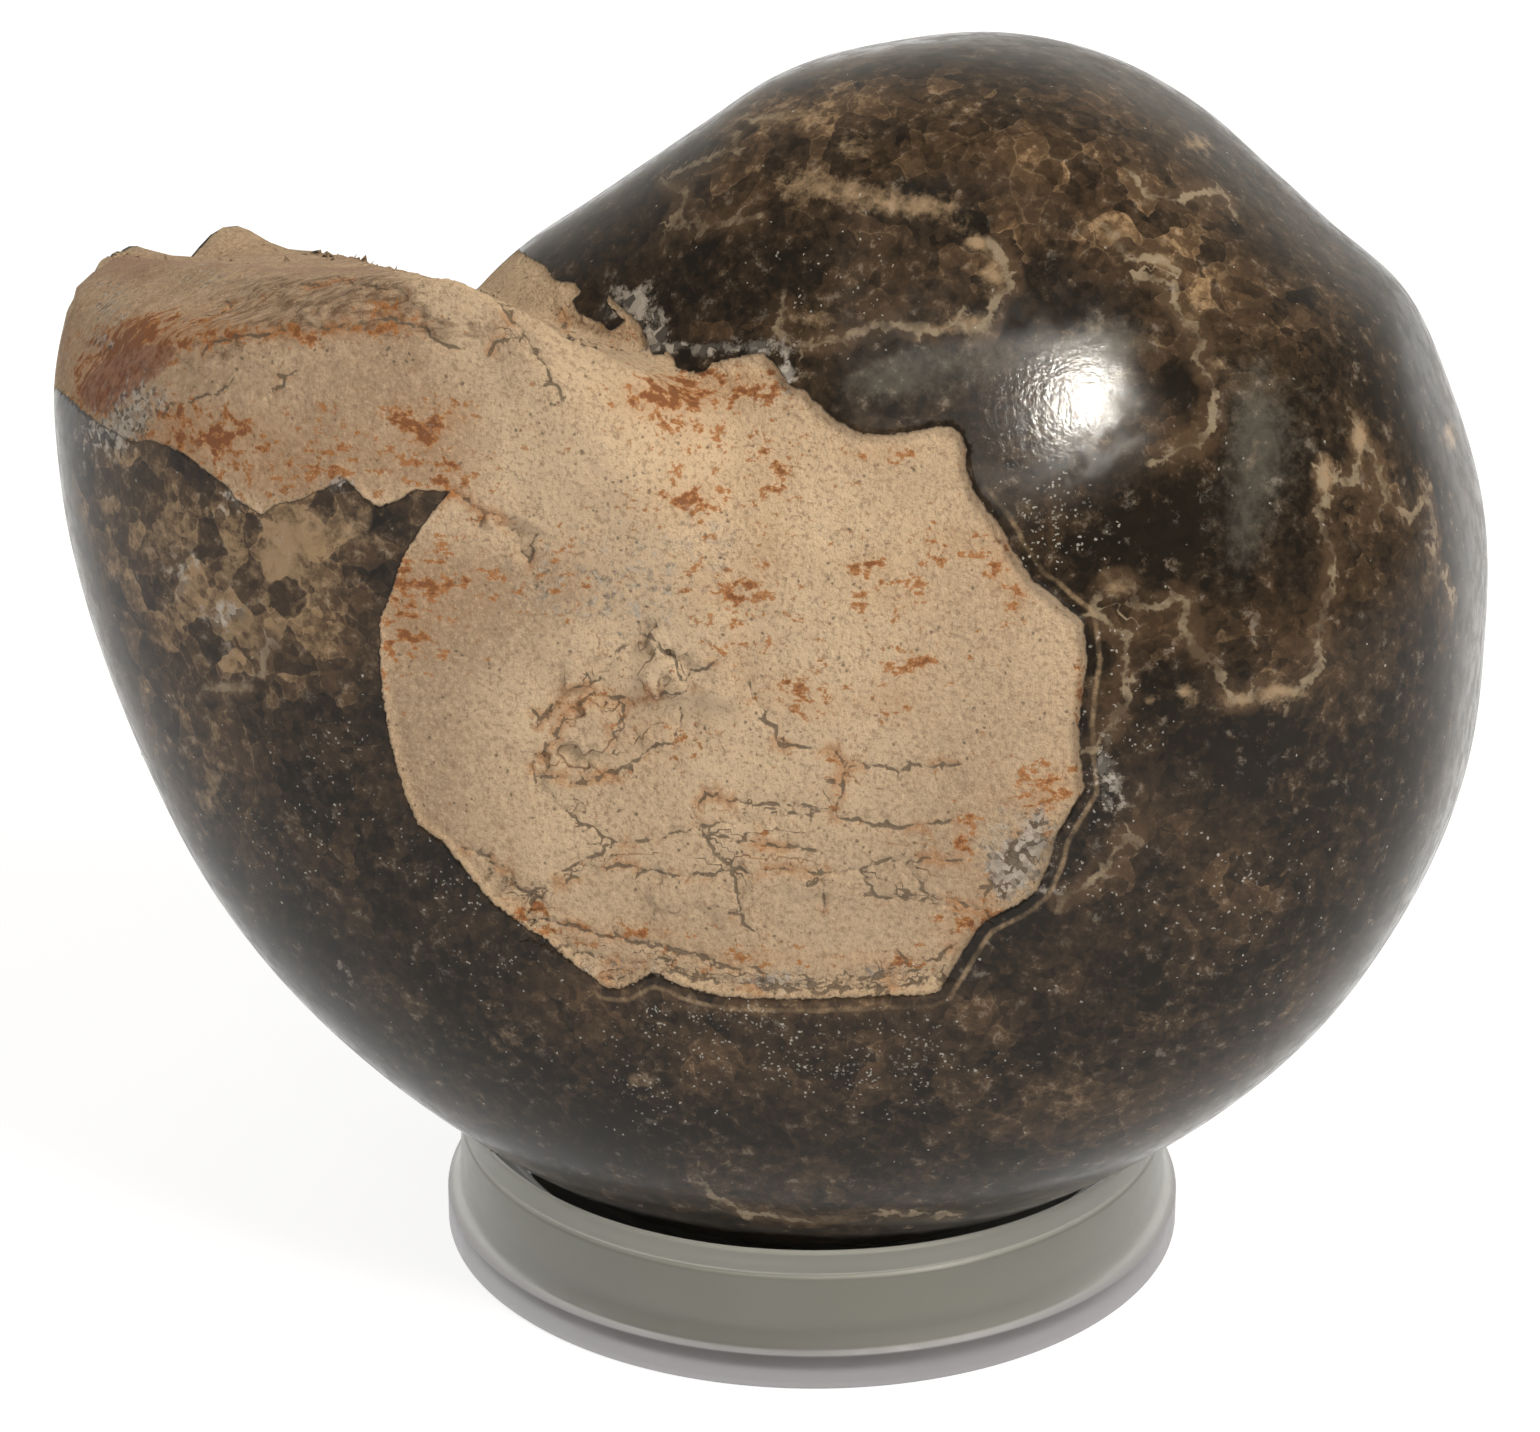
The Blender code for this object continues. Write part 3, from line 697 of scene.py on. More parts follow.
class Board:
    """A material's node board, with short ways to add the nodes that the finishes use."""

    def __init__(self, name):
        self.material = bpy.data.materials.new(name)
        self.material.use_nodes = True
        self.tree = self.material.node_tree
        self.shader = self.tree.nodes["Principled BSDF"]
        coordinates = self.add("ShaderNodeTexCoord", out="Object")
        self.place = self.add("ShaderNodeVectorMath", {0: coordinates, "Scale": 1 / MM}, operation="SCALE")

    def join(self, socket, value):
        """Links a socket, or sets its value."""
        if isinstance(value, Wire):
            self.tree.links.new(value.socket, socket)
        elif hasattr(value, "__len__") and len(value) == 3 and socket.type == "RGBA":
            socket.default_value = (*value, 1.0)
        else:
            socket.default_value = value

    def put(self, name, value):
        """Links or sets one input of the finish."""
        self.join(self.shader.inputs[name], value)

    def bump(self, height):
        """Shades a small height in mm."""
        self.put("Normal", self.add("ShaderNodeBump", {"Height": height, "Distance": MM}, out="Normal"))

    def add(self, kind, inputs=None, out=0, **settings):
        """New node with its settings and inputs; gives back one output."""
        node = self.tree.nodes.new(kind)
        for key, value in settings.items():
            setattr(node, key, value)
        for key, value in (inputs or {}).items():
            self.join(node.inputs[key], value)
        return Wire(self, node.outputs[out])

    def math(self, operation, a, b=0.0):
        """Result of one sum."""
        return self.add("ShaderNodeMath", {0: a, 1: b}, operation=operation)

    def held(self, value):
        """Value kept between 0 and 1."""
        return self.math("MAXIMUM", self.math("MINIMUM", value, 1.0), 0.0)

    def mix(self, share, a, b, blend="MIX"):
        """Colour between a and b."""
        inputs = {0: share, 6: a, 7: b}
        return self.add("ShaderNodeMix", inputs, out=2, data_type="RGBA", blend_type=blend)

    def lay(self, colour, over, value, low, high, most=1.0):
        """Colour with another laid over it as a value rises from low to high, up to a share."""
        return self.mix(self.step(value, low, high, 0.0, most), colour, over)

    def swings(self, *pairs):
        """Sum of values from 0 to 1, each turned into one round zero and given its amount."""
        result = None
        for value, amount in pairs:
            part = (value - 0.5) * amount
            result = part if result is None else result + part
        return result

    def step(self, value, low, high, to_low=0.0, to_high=1.0):
        """Smooth step of a value."""
        inputs = {"Value": value, "From Min": low, "From Max": high, "To Min": to_low, "To Max": to_high}
        return self.add("ShaderNodeMapRange", inputs, interpolation_type="SMOOTHSTEP")

    def spread(self, value, low, high):
        """Value from 0 to 1 taken to the range from low to high."""
        return self.step(value, 0.0, 1.0, low, high)

    def noise(self, size, detail=3.0, rough=0.55, vector=None, twist=0.0):
        """Noise from 0 to 1 with features of a size in mm."""
        inputs = {
            "Vector": vector or self.place, "Scale": 1.0 / size, "Detail": detail,
            "Roughness": rough, "Distortion": twist,
        }
        return self.add("ShaderNodeTexNoise", inputs, out="Fac")

    def bold(self, size, detail=5.0, rough=0.65, vector=None, twist=0.0):
        """Noise stretched to the whole range from 0 to 1."""
        return self.step(self.noise(size, detail, rough, vector, twist), 0.34, 0.66)

    def warped(self, size, amount, vector=None):
        """Coordinates pushed about by noise."""
        base = vector or self.place
        inputs = {"Vector": base, "Scale": 1.0 / size, "Detail": 3.0}
        push = self.add("ShaderNodeTexNoise", inputs, out="Color")
        centred = self.add("ShaderNodeVectorMath", {0: push, 1: (0.5, 0.5, 0.5)}, operation="SUBTRACT")
        scaled = self.add("ShaderNodeVectorMath", {0: centred, "Scale": amount}, operation="SCALE")
        return self.add("ShaderNodeVectorMath", {0: base, 1: scaled}, operation="ADD")

    def drawn_out(self, scale, turn=(0.0, 0.0, 0.0)):
        """Coordinates in which noise is drawn out along the first axis."""
        inputs = {0: self.place, "Rotation": turn, "Scale": (scale, 1.0, 1.0)}
        return self.add("ShaderNodeMapping", inputs)

    def cells(self, size, vector, feature="F1", out="Color"):
        """Voronoi cells of a size in mm."""
        inputs = {"Vector": vector, "Scale": 1.0 / size}
        return self.add("ShaderNodeTexVoronoi", inputs, out=out, feature=feature)

    def chips(self, size, vector):
        """A random number for each Voronoi cell."""
        return self.add("ShaderNodeSeparateColor", {0: self.cells(size, vector)})

    def round_ring(self):
        """Distance from the ring's axis and height above its foot, in mm."""
        centre = tuple(RING_CENTRE)
        offset = self.add("ShaderNodeVectorMath", {0: self.place, 1: centre}, operation="SUBTRACT")
        parts = self.add("ShaderNodeSeparateXYZ", {0: offset}).socket.node.outputs
        right, back, up = (Wire(self, part) for part in parts)
        return self.math("SQRT", right * right + back * back), up

    def read(self, name):
        """Number kept on the mesh."""
        return self.add("ShaderNodeAttribute", out="Fac", attribute_name=name)

    def line(self, name, half_width, soft):
        """1 on the lines kept under a name, 0 away from them."""
        outer = half_width + soft
        near = self.step(abs(self.read(name + "_side")), half_width, outer, 1.0, 0.0)
        return near * self.step(self.read(name + "_away"), 1.1, 1.6, 1.0, 0.0)


def stone_finish(look):
    """Dark polished calcite with brown mottling, pale sutures and a pale limestone middle."""
    board = Board("polished_stone")
    dark, tan = dark_colour(board, look), tan_colour(board, look)
    edge = board.read("tan_inside") + board.swings((board.noise(1.3, 4.0, 0.7), 0.5))
    is_tan = board.step(edge, -0.07, 0.07)
    board.put("Base Color", board.mix(is_tan, dark, tan))
    sheen = board.read("sheen")
    dulled = 1.0 - sheen
    dark_rough = board.spread(board.bold(2.5), 0.15, 0.27) * dulled + sheen * POLISHED_ROUGHNESS
    dark_rough = dark_rough + board.read("matt") * 0.3
    tan_rough = board.step(board.noise(3.0), 0.3, 0.7, 0.66, 0.85)
    board.put("Roughness", tan_rough * is_tan + dark_rough * (1.0 - is_tan))
    board.put("IOR", STONE_IOR)
    board.put("Specular IOR Level", STONE_SPECULAR)
    grain = board.noise(0.45, 5.0, 0.7) * (is_tan * 0.4)
    lumpy = board.noise(2.2, 5.0, 0.7) * (is_tan * 0.75)
    hammered = board.noise(0.6, 3.0, 0.6) * (sheen * 0.005)
    skin = board.noise(1.6, 4.0, 0.6) * (dulled * 0.005)
    groove = board.line("crack", 0.02, 0.2) * -0.08
    board.bump(grain + lumpy + hammered + skin + groove)
    return board.material


def dark_colour(board, look):
    """Near black crystals with a brown mosaic, pale veins, frilled lines, grey specks and painted sheen."""
    bent = board.warped(4.0, 3.6)
    plate = board.chips(PLATE_SIZE, bent)
    chip = board.chips(CHIP_SIZE, board.warped(1.5, 1.0))
    fine = board.bold(1.5, 7.0, 0.74)
    brown = board.read("brown")
    base = board.bold(14.0, 7.0, 0.66, twist=0.7) * 0.34 + brown * 0.55
    uneven = board.swings((fine, 0.36), (chip, 0.18), (plate, 0.16))
    mosaic = board.swings((plate, 0.55), (chip, 0.22), (fine, 0.2))
    amount = base + uneven + mosaic * board.held(brown)
    colour = board.mix(board.held(amount), look.dark, look.brown)
    colour = board.lay(colour, look.olive, amount, 0.9, 1.6, 0.9)
    facets = board.mix(chip, (0.65, 0.65, 0.65), (1.3, 1.3, 1.3))
    colour = board.mix(0.45, colour, facets, "MULTIPLY")
    plates = board.mix(plate, (0.62, 0.62, 0.62), (1.3, 1.25, 1.2))
    colour = board.mix(board.step(brown, 0.2, 1.0, 0.2, 0.8), colour, plates, "MULTIPLY")
    rim = board.cells(PLATE_SIZE, bent, "DISTANCE_TO_EDGE", "Distance")
    edges = board.step(rim, 0.0, 0.05, 1.0, 0.0) * board.step(amount, 0.3, 0.9, 0.0, 0.3)
    colour = board.mix(edges * board.bold(3.5), colour, look.vein)
    halo = board.line("suture", 0.3, 1.6) * board.spread(board.bold(4.0), 0.15, 0.9)
    colour = board.mix(halo, colour, look.brown)
    pale = board.read("pale") + board.swings((fine, 0.55), (chip, 0.15), (plate, 0.25))
    colour = board.lay(colour, look.vein, pale, 0.15, 1.35, 0.9)
    widths = board.spread(board.bold(1.6, 4.0), -0.1, 0.3)
    strength = board.spread(board.bold(4.5, 4.0), 0.15, 0.9)
    colour = board.mix(board.line("suture", widths, 0.3) * strength, colour, look.suture)
    beside = abs(board.read("tan_inside") + LIP_AWAY)
    lip = board.step(beside, 0.05, 0.35, 1.0, 0.0) * board.read("overhang")
    colour = board.mix(lip * board.spread(fine, 0.2, 0.75), colour, look.vein)
    # Painted sheen: grey laid on the shoulder where it throws back the light
    frost_and_painted_sheen = board.read("frost_and_painted_sheen") + board.swings((fine, 0.5))
    colour = board.lay(colour, look.frost_and_painted_sheen, frost_and_painted_sheen, 0.1, 1.2, 0.6)
    colour = weathered(board, look, colour, fine, chip)
    crowd = board.read("speck") * board.bold(4.0, 4.0)
    dots = board.chips(SPECK_SIZE, board.warped(0.6, 0.3))
    dot = board.math("GREATER_THAN", dots, 0.9995 - crowd * 0.09)
    return board.mix(dot * board.spread(chip, 0.2, 0.8), colour, look.speck)


def weathered(board, look, colour, fine, chip):
    """Colour with the weathered grey on it, which differs from one small crystal to the next."""
    grey = board.read("grey") + board.swings((fine, 1.0))
    low, high = ([share * c for c in look.grey] for share in (0.28, 1.5))
    tone = board.mix(board.step(chip, 0.1, 0.9), low, high)
    return board.lay(colour, tone, grey, 0.3, 1.0, 0.8)


def tan_colour(board, look):
    """Pale limestone with pores, rust and thin dark cracks, the layered broken end, and painted shade on its
    sides, in its flake steps and along its edge.
    """
    grain = board.bold(0.5, 5.0, 0.75)
    fine = board.bold(1.2, 6.0, 0.75)
    streak = board.bold(1.3, 6.0, 0.7, board.drawn_out(0.25, (0.0, -0.12, 0.3)))
    cloud = board.bold(8.0, 6.0, 0.65)
    colour = board.mix(cloud * 0.5 + streak * 0.3 + fine * 0.2, look.tan, look.tan_light)
    sandy = board.mix(cloud * 0.5 + fine * 0.5, look.lobe_dark, look.lobe)
    colour = board.mix(board.read("lobe"), colour, sandy)
    # Painted shade: darker towards the limestone's sides and bottom
    colour = board.lay(colour, look.painted_shade, board.read("painted_shade"), 0.0, 1.1, 0.85)
    colour = board.lay(colour, look.tan_dark, grain, 0.55, 1.0, 0.65)
    colour = board.mix(board.step(grain, 0.0, 0.4, 0.4, 0.0), colour, look.tan_light)
    # Painted shade: dark lines where the flaked spots step down
    painted_step_shade = board.step(abs(board.read("flake")), 0.0, 0.055, 1.0, 0.0)
    flaked = board.read("flaked") + board.swings((fine, 0.9))
    colour = board.mix(painted_step_shade * board.step(flaked, 0.3, 0.9, 0.0, 0.8), colour, look.fibre_dark)
    pores = board.cells(0.8, board.warped(0.9, 0.5), out="Distance")
    pores = board.step(pores, 0.12, 0.28, 0.75, 0.0) * board.step(board.bold(3.0), 0.55, 0.75)
    colour = board.mix(pores, colour, look.crack)
    thin = board.warped(6.0, 1.2, board.drawn_out(0.13, (0.0, -0.2, 0.3)))
    laminated = board.mix(board.bold(0.75, 5.0, 0.65, thin), look.fibre_dark, look.fibre_light)
    layers = board.read("layers") + board.swings((streak, 0.7))
    colour = board.lay(colour, laminated, layers, 0.25, 0.8, 0.9)
    stain = board.read("rust")
    colour = board.mix(board.step(stain, 0.0, 1.6) * 0.35, colour, look.rust)
    flecks = board.bold(1.05, 5.0, 0.62, board.drawn_out(0.6))
    crowded = stain * board.spread(board.bold(6.0, 3.0), 0.35, 0.85)
    blots = crowded + board.swings((flecks, 1.1), (grain, 0.35))
    colour = board.lay(colour, look.rust, blots, 0.62, 0.76, 0.85)
    colour = board.lay(colour, look.rust_deep, blots, 0.82, 1.1, 0.7)
    beside = board.line("crack", 0.1, 0.9) * board.step(board.bold(5.0), 0.5, 0.9, 0.0, 0.5)
    colour = board.mix(beside, colour, look.rust)
    block = board.read("block") + board.swings((fine, 0.35))
    reds = board.mix(board.bold(0.9), look.rust_deep, look.block)
    colour = board.lay(colour, reds, block, 0.35, 0.65, 0.85)
    rim = board.read("round_rim") + board.swings((board.bold(4.0, 4.0), 0.5))
    colour = board.lay(colour, look.rim, rim, 0.2, 1.0, 0.8)
    colour = weathered(board, look, colour, fine, board.chips(0.5, board.warped(0.8, 0.5)))
    width = board.spread(board.bold(1.8, 4.0), -0.1, 0.13)
    colour = board.mix(board.line("crack", width, 0.12) * 0.8, colour, look.crack)
    # Painted shade: the limestone darkened along its edge, in the step down from the dark stone
    return board.mix(board.step(board.read("tan_inside"), 0.0, 0.3, 0.6, 0.0), colour, look.crack)


def ring_finish(look):
    """Clear acrylic with a light, uneven frosting, painted highlights on its groove and top rim, less clear
    on its bevel and inside.
    """
    board = Board("frosted_acrylic")
    frost_and_painted_sheen = board.noise(14.0, 4.0, 0.6)
    across, height = board.round_ring()
    clear = board.mix(frost_and_painted_sheen, look.acrylic, [0.85 * c for c in look.acrylic])
    # Painted highlights: pale bands at the groove and the top rim, where the edges catch the light
    painted_highlight = board.step(abs(height - GROOVE_HEIGHT), 0.15, 0.4, 1.0, 0.0) + board.step(height, 13.4, 13.75)
    clear = board.mix(painted_highlight, clear, look.painted_highlight)
    board.put("Base Color", board.mix(board.step(height, 3.4, 4.6), look.foot, clear))
    board.put("Transmission Weight", board.step(across, 33.9, 34.7, 0.3, 0.72))
    board.put("IOR", ACRYLIC_IOR)
    scuffs = board.noise(1.2, 5.0, 0.7)
    board.put("Roughness", board.step(frost_and_painted_sheen + board.swings((scuffs, 0.5)), 0.3, 0.8, 0.3, 0.5))
    board.bump(scuffs * 0.01)
    return board.material


def colour_property(name, description, default):
    """Colour of a finish."""
    return FloatVectorProperty(
        name=name, description=description, subtype="COLOR", size=3, min=0.0, max=1.0, default=default,
    )


def depth_property(name, description, millimetres):
    """Depth or height of a relief."""
    return FloatProperty(
        name=name, description=description, default=millimetres * MM, unit="LENGTH", min=0.0, precision=5,
    )


class AmmoniteLook(PropertyGroup):
    """Colours of the stone and the ring."""

    dark: colour_property("Dark stone", "Darkest calcite", (0.011, 0.0075, 0.0045))
    brown: colour_property("Brown stone", "Brown mottling", (0.072, 0.043, 0.023))
    olive: colour_property("Olive stone", "Lightest mottling", (0.23, 0.155, 0.085))
    # Painted sheen of the shoulder
    frost_and_painted_sheen: colour_property("Painted sheen", "Painted grey sheen of the polished shoulder", (0.10, 0.09, 0.073))
    vein: colour_property("Veins", "Pale veins and clouds", (0.30, 0.205, 0.12))
    suture: colour_property("Sutures", "Frilled lines", (0.235, 0.18, 0.118))
    grey: colour_property("Grey crust", "Weathered grey", (0.30, 0.27, 0.235))
    speck: colour_property("Specks", "Bright specks", (0.36, 0.34, 0.30))
    tan: colour_property("Limestone", "Pale middle", (0.55, 0.40, 0.26))
    tan_light: colour_property("Light limestone", "Lightest grains", (0.68, 0.51, 0.34))
    tan_dark: colour_property("Dark grains", "Pores and grains", (0.30, 0.20, 0.125))
    lobe: colour_property("Broken end", "Sandy limestone of the broken end", (0.535, 0.38, 0.245))
    lobe_dark: colour_property("Dark broken end", "Its darker grains", (0.36, 0.245, 0.155))
    rim: colour_property("Far rim", "Rounded rim of the broken end", (0.33, 0.20, 0.135))
    rust: colour_property("Rust", "Orange stains", (0.40, 0.165, 0.052))
    block: colour_property("Red block", "Red-brown block of the broken end", (0.33, 0.165, 0.10))
    rust_deep: colour_property("Deep rust", "Red-brown stains", (0.17, 0.06, 0.028))
    # Also painted shade in the steps of the flaked spots
    fibre_dark: colour_property("Dark layers", "Layers of the broken end", (0.15, 0.085, 0.05))
    fibre_light: colour_property("Light layers", "Layers of the broken end", (0.46, 0.33, 0.215))
    # Also painted shade along the edge of the pale middle
    crack: colour_property("Cracks", "Thin cracks", (0.13, 0.095, 0.065))
    # Painted shade of the limestone's sides
    painted_shade: colour_property("Painted shade", "Painted shade on the limestone's sides, away from its lit middle", (0.36, 0.255, 0.165))
    # Painted highlight on the ring's groove and top rim
    painted_highlight: colour_property("Painted highlights", "Edges of the ring that catch the light", (0.75, 0.74, 0.66))
    foot: colour_property("Foot", "Tint of the ring's foot", (0.20, 0.185, 0.19))
    acrylic: colour_property("Acrylic", "Tint of the ring", (0.42, 0.415, 0.36))


class AmmoniteSizes(PropertyGroup):
    """Sizes of the relief and the ring."""

    ledge: depth_property("Ledge", "Step down to the pale middle", 0.8)
    crack_depth: depth_property("Crack depth", "Depth of the cracks", 0.14)
    flakes: depth_property("Flakes", "Depth of the flaked spots", 0.7)
    grain: depth_property("Grain", "Height of the limestone's grain", 0.12)
    ring_steps: IntProperty(
        name="Ring steps", description="Faces round the ring", default=192, min=24, max=512,
    )


class AMMONITE_OT_stone(Operator):
    """Build the stone with its relief and markings"""

    bl_idname = "ammonite.stone"
    bl_label = "Stone"

    def execute(self, context):
        sizes = context.scene.ammonite_sizes
        bpy.ops.object.select_all(action="DESELECT")
        bpy.ops.mesh.primitive_ico_sphere_add(subdivisions=6, radius=60 * MM, location=COIL_CENTRE * MM)
        item = context.object
        item.name = "ammonite_stone"
        bpy.ops.object.transform_apply(location=True, rotation=True, scale=True)
        mesh = item.data
        place_vertices(mesh, smooth_surface(directions_of(mesh))[0])
        lines = self.draw_lines(item)
        self.refine(item, lines)
        self.mark(item.data, lines, sizes)
        item.data.polygons.foreach_set("use_smooth", np.ones(len(item.data.polygons), bool))
        item.data.materials.clear()
        item.data.materials.append(stone_finish(context.scene.ammonite_look))
        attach(item, "root")
        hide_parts("ammonite_fossil")
        return {"FINISHED"}

    def draw_lines(self, item):
        """Markings dropped on the stone."""
        split_edges(item, lambda middle, length: length > COARSE_EDGE)
        tree = mesh_tree(item.data)
        noise.seed_set(WOBBLE_SEED)
        drawn = ([TAN_EDGE + TAN_EDGE[:1]], SUTURES, CRACKS)
        front = [project_lines(tree, table, *wobble) for table, wobble in zip(drawn, WOBBLES)]
        return dict(zip(LINE_NAMES, (*front, far_sutures())))

    def refine(self, item, lines):
        """Finer faces where the markings and the rough parts are."""
        def wanted(reach, least, rough_least):
            def rule(middle, length):
                edge, suture, crack, far = (line_distance(lines[name], middle)[1] for name in LINE_NAMES)
                front = np.minimum(np.minimum(edge, suture), crack)
                spots = to_picture(middle)
                facing = (middle - COIL_CENTRE) @ (camera_place() - COIL_CENTRE) > 0
                tan = inside(TAN_EDGE, spots) & facing
                close = (front < reach) | ((far < reach * 0.7) & ~facing)
                flaked = tan & (stains(FLAKED, spots) > 0.35)
                rough = (tan & (length > rough_least)) | (flaked & (length > FLAKED_EDGE))
                return (close & (length > least)) | rough
            return rule
        for limits in PASSES:
            split_edges(item, wanted(*limits))

    def mark(self, mesh, lines, sizes):
        """Keeps the markings on the vertices and raises the relief."""
        view = seen(mesh, mesh_tree(mesh))
        shown = view.astype(float)
        points, place, cut = smooth_surface(directions_of(mesh))
        points = points + knob_rise(place)
        spots = to_picture(points)
        turn, colat = coil_angles(place / np.linalg.norm(place, axis=1)[:, None])
        broken = ramp(cut, 0.15, 1.2)
        _, away = line_distance(lines["edge"], points)
        near_tan = np.where(inside(TAN_EDGE, spots), away, -away)
        tan = np.where(view, near_tan, far_limestone(turn, colat, cut))
        store(mesh, "tan_inside", tan)
        crack, crack_away = self.store_lines(mesh, lines, points, view)
        for name, table in STAIN_TABLES.items():
            store(mesh, name, stains(table, spots) * shown)
        polished = np.minimum(stains(SHEEN, spots), 1.0)
        under_line = ramp(-above_line(SHEEN_TOP, spots), -6.0, 4.0) * shown
        store(mesh, "sheen", polished * under_line)
        # Painted sheen of the shoulder, kept below the polished band's top line
        store(mesh, "frost_and_painted_sheen", stains(PAINTED_SHEEN, spots) * under_line)
        flake = noise_at(points, *FLAKE_NOISE)
        store(mesh, "flake", flake)
        store(mesh, "block", soft_inside(BLOCK, spots, 5.0) * shown)
        store(mesh, "lobe", np.where(view, soft_inside(LOBE, spots, 20.0), broken))
        fade = ramp(np.abs((turn - 140.0 + 180.0) % 360.0 - 180.0), 25.0, 60.0)
        depth = np.where(view, BREAK_LEDGE + (sizes.ledge / MM - BREAK_LEDGE) * fade, HIDDEN_LEDGE)
        drop = depth * ramp(tan, -0.05, 0.55)
        near_crack = np.exp(-((crack / CRACK_REACH) ** 2)) * ramp(-crack_away, -1.0, -0.5)
        drop += sizes.crack_depth / MM * near_crack * view
        drop += stains(DENTS, spots) * shown
        flaked = np.minimum(stains(FLAKED, spots), 1.0) * shown
        drop += sizes.flakes / MM * flaked * ramp(tan, 0.3, 1.5) * ramp(flake, -0.05, 0.05)
        small, large = (noise_at(points, *values) for values in GRAIN_NOISES)
        drop += sizes.grain / MM * (small + 0.6 * large) * ramp(tan, 0.0, 0.6)
        layered = np.where(view, stains(LAYERS, spots) * 0.8 + 0.2, 0.7)
        thin = noise_at(place * (0.22, 1.0, 1.0), *LAYER_NOISES[0])
        drop += broken * LAYER_DEPTH * (layered * thin + noise_at(points, *LAYER_NOISES[1]))
        drop += SKIN_DEPTH * (1.0 - 0.9 * polished) * noise_at(points, *SKIN_NOISE)
        outward = np.empty(len(mesh.vertices) * 3)
        place_vertices(mesh, points)
        mesh.vertices.foreach_get("normal", outward)
        moved = points - (drop + CLEARANCE)[:, None] * outward.reshape(-1, 3)
        place_vertices(mesh, np.clip(moved, STONE_BOX[0] + BOX_MARGIN, STONE_BOX[1] - BOX_MARGIN))

    def store_lines(self, mesh, lines, points, view):
        """Keeps the distances to the frilled lines and the cracks; gives back those to the cracks."""
        suture, far, crack = (line_distance(lines[name], points) for name in ("suture", "far", "crack"))
        for k, ending in enumerate(("_side", "_away")):
            store(mesh, "suture" + ending, np.where(view, suture[k], far[k]))
            store(mesh, "crack" + ending, np.where(view, crack[k], NO_CRACK))
        return crack


class AMMONITE_OT_ring(Operator):
    """Turn the clear ring from its profile"""

    bl_idname = "ammonite.ring"
    bl_label = "Ring"

    def execute(self, context):
        sizes = context.scene.ammonite_sizes
        outline = self.rounded_profile()
        mesh = bpy.data.meshes.new("display_ring")
        centre = RING_CENTRE
        points = [((centre[0] + r) * MM, centre[1] * MM, (centre[2] + z) * MM) for r, z in outline]
        count = len(points)
        mesh.from_pydata(points, [(k, (k + 1) % count) for k in range(count)], [])
        item = bpy.data.objects.new("display_ring", mesh)
        context.scene.collection.objects.link(item)
        set_mode(item, "EDIT")
        bpy.ops.mesh.select_all(action="SELECT")
        bpy.ops.mesh.spin(
            steps=sizes.ring_steps, angle=2 * math.pi, center=centre * MM, axis=(0.0, 0.0, 1.0),
            use_auto_merge=True,
        )
        bpy.ops.mesh.select_all(action="SELECT")
        bpy.ops.mesh.remove_doubles(threshold=1e-6)
        bpy.ops.mesh.normals_make_consistent(inside=False)
        bpy.ops.object.mode_set(mode="OBJECT")
        mesh.polygons.foreach_set("use_smooth", np.ones(len(mesh.polygons), bool))
        mesh.materials.append(ring_finish(context.scene.ammonite_look))
        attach(item, "root")
        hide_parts("ring_stand")
        return {"FINISHED"}

    def rounded_profile(self):
        """Profile with each corner taken round by an arc of short steps."""
        corners = [np.array(c[:2]) for c in RING_PROFILE]
        result = []
        for k, (_, _, size) in enumerate(RING_PROFILE):
            here, before, after = corners[k], corners[k - 1], corners[(k + 1) % len(corners)]
            start = here + (before - here) / np.linalg.norm(before - here) * size
            end = here + (after - here) / np.linalg.norm(after - here) * size
            for t in np.linspace(0.0, 1.0, 5):
                result.append((1 - t) ** 2 * start + 2 * t * (1 - t) * here + t * t * end)
        return result


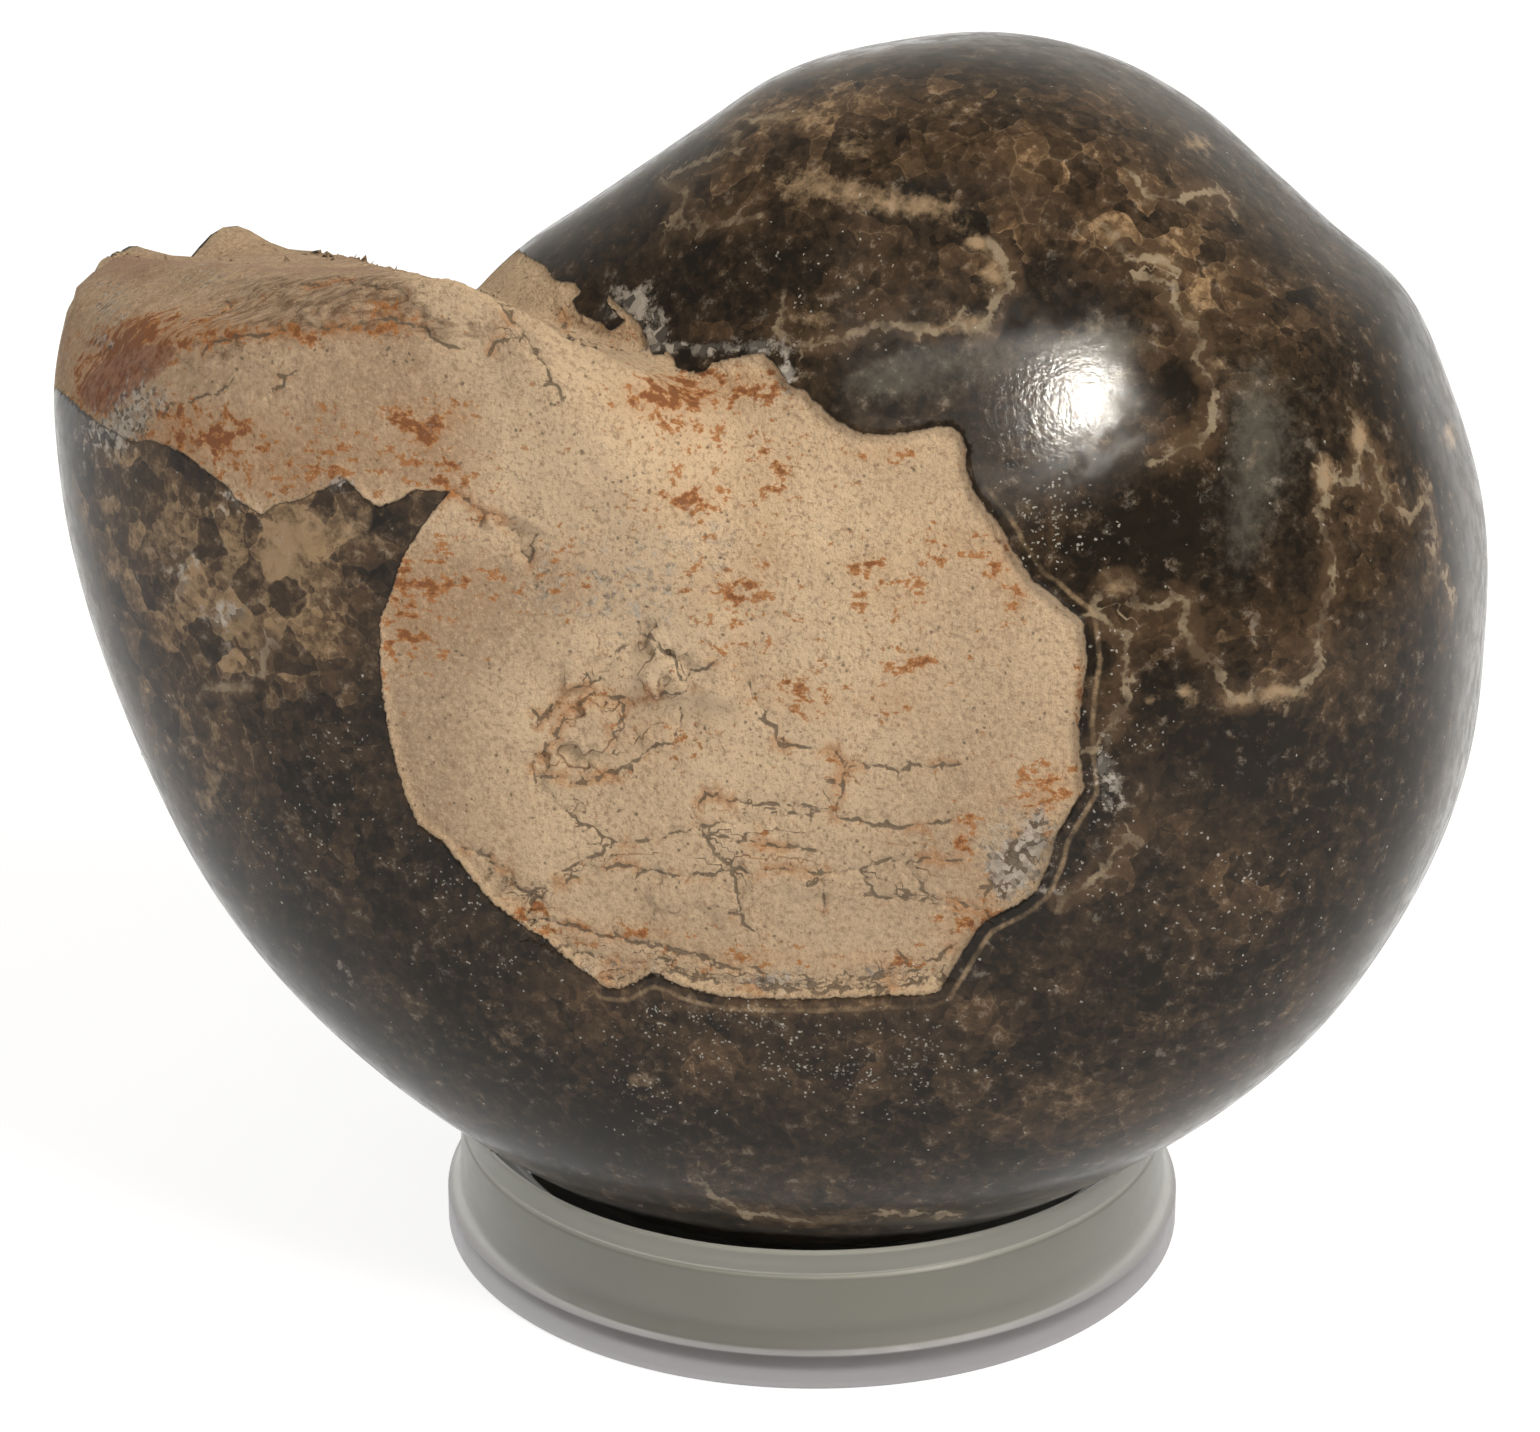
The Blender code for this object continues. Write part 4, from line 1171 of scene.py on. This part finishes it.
class AMMONITE_OT_stage(Operator):
    """Set the floor, the lights and the camera"""

    bl_idname = "ammonite.stage"
    bl_label = "Stage"

    def execute(self, context):
        bpy.ops.object.select_all(action="DESELECT")
        bpy.ops.mesh.primitive_plane_add(size=6.0, location=(0.0, 1.0, 0.0))
        floor = context.object
        floor.name = "studio_floor"
        bpy.ops.object.transform_apply(location=True, rotation=True, scale=True)
        floor.data.materials.append(self.floor_finish())
        self.surroundings(context)
        self.highlight_lamps(context)
        self.lamp(context, "key_light", *KEY_LIGHT).visible_glossy = False
        self.camera(context)
        context.scene.view_settings.view_transform = "Standard"
        return {"FINISHED"}

    def floor_finish(self):
        """Pale paper that glows a little, but not inside the ring, where the stone shades it."""
        board = Board("pale_floor")
        board.put("Base Color", board.mix(board.noise(60.0), (0.29, 0.29, 0.285), (0.31, 0.31, 0.305)))
        board.put("Roughness", 0.9)
        board.put("Emission Color", (1.0, 1.0, 1.0))
        across, _ = board.round_ring()
        board.put("Emission Strength", board.step(across, 29.0, 30.5, 0.0, FLOOR_GLOW))
        return board.material

    def surroundings(self, context):
        """Warm white room, dimmer on the camera's side than behind the stone."""
        world = bpy.data.worlds.new("studio")
        context.scene.world = world
        world.use_nodes = True
        nodes, links = world.node_tree.nodes, world.node_tree.links
        direction = nodes.new("ShaderNodeTexCoord").outputs["Generated"]
        split = nodes.new("ShaderNodeSeparateXYZ")
        links.new(direction, split.inputs[0])
        level = nodes.new("ShaderNodeMapRange")
        level.interpolation_type = "SMOOTHSTEP"
        for key, value in zip(("From Min", "From Max", "To Min", "To Max"), (0.1, 0.8, *ROOM_LEVELS)):
            level.inputs[key].default_value = value
        links.new(split.outputs["Y"], level.inputs["Value"])
        background = nodes["Background"]
        background.inputs["Color"].default_value = ROOM_COLOUR
        links.new(level.outputs[0], background.inputs["Strength"])

    def lamp(self, context, name, place, size, power, target=None):
        """Soft square light aimed at the stone."""
        light = bpy.data.lights.new(name, "AREA")
        light.size = size * MM
        light.color = LIGHT_COLOUR
        light.energy = power
        item = bpy.data.objects.new(name, light)
        aim = Vector(target if target is not None else LOOK_AT)
        item.location = Vector(place) * MM
        item.rotation_euler = (aim - Vector(place)).to_track_quat("-Z", "Y").to_euler()
        context.scene.collection.objects.link(item)
        return item

    def highlight_lamps(self, context):
        """Lights that the flat on the shoulder throws back at the camera."""
        normal = Vector(SHOULDER_FACET[:3]).normalized()
        facing = Vector(np.array(normal) @ AXES)
        ray = Vector(picture_ray(*HIGHLIGHT))
        eye = Vector(camera_place())
        anchor = Vector(COIL_CENTRE) + facing * SHOULDER_FACET[3]
        reach = (anchor - eye).dot(facing) / ray.dot(facing)
        spot = eye + ray * reach
        back = ray - 2.0 * ray.dot(facing) * facing
        for name, (distance, size, power) in SHOULDER_LIGHTS.items():
            self.lamp(context, name, spot + back * distance, size, power, spot)

    def camera(self, context):
        """Camera at the photo's viewing angle."""
        data = bpy.data.cameras.new("camera")
        data.lens = LENS
        data.sensor_width = SENSOR
        data.clip_end = 20.0
        item = bpy.data.objects.new("camera", data)
        item.location = Vector(camera_place()) * MM
        item.rotation_euler = (math.pi / 2 - ELEVATION, 0.0, 0.0)
        context.scene.collection.objects.link(item)
        context.scene.camera = item


class AMMONITE_PT_panel(Panel):
    """Buttons and values of the ammonite"""

    bl_idname = "AMMONITE_PT_panel"
    bl_label = "Ammonite"
    bl_space_type = "VIEW_3D"
    bl_region_type = "UI"
    bl_category = "Ammonite"

    def draw(self, context):
        column = self.layout.column()
        for operator in OPERATORS:
            column.operator(operator.bl_idname)
        for group in (context.scene.ammonite_sizes, context.scene.ammonite_look):
            for key in group.__annotations__:
                column.prop(group, key)


OPERATORS = (AMMONITE_OT_stone, AMMONITE_OT_ring, AMMONITE_OT_stage)
CLASSES = (AmmoniteLook, AmmoniteSizes, *OPERATORS, AMMONITE_PT_panel)


def register():
    """Registers the classes and their values."""
    for kind in CLASSES:
        bpy.utils.register_class(kind)
    bpy.types.Scene.ammonite_look = PointerProperty(type=AmmoniteLook)
    bpy.types.Scene.ammonite_sizes = PointerProperty(type=AmmoniteSizes)


def unregister():
    """Takes the classes and their values away."""
    del bpy.types.Scene.ammonite_sizes
    del bpy.types.Scene.ammonite_look
    for kind in reversed(CLASSES):
        bpy.utils.unregister_class(kind)


def main():
    """Builds everything in order."""
    register()
    bpy.ops.ammonite.stone()
    bpy.ops.ammonite.ring()
    bpy.ops.ammonite.stage()


if __name__ == "__main__":
    main()
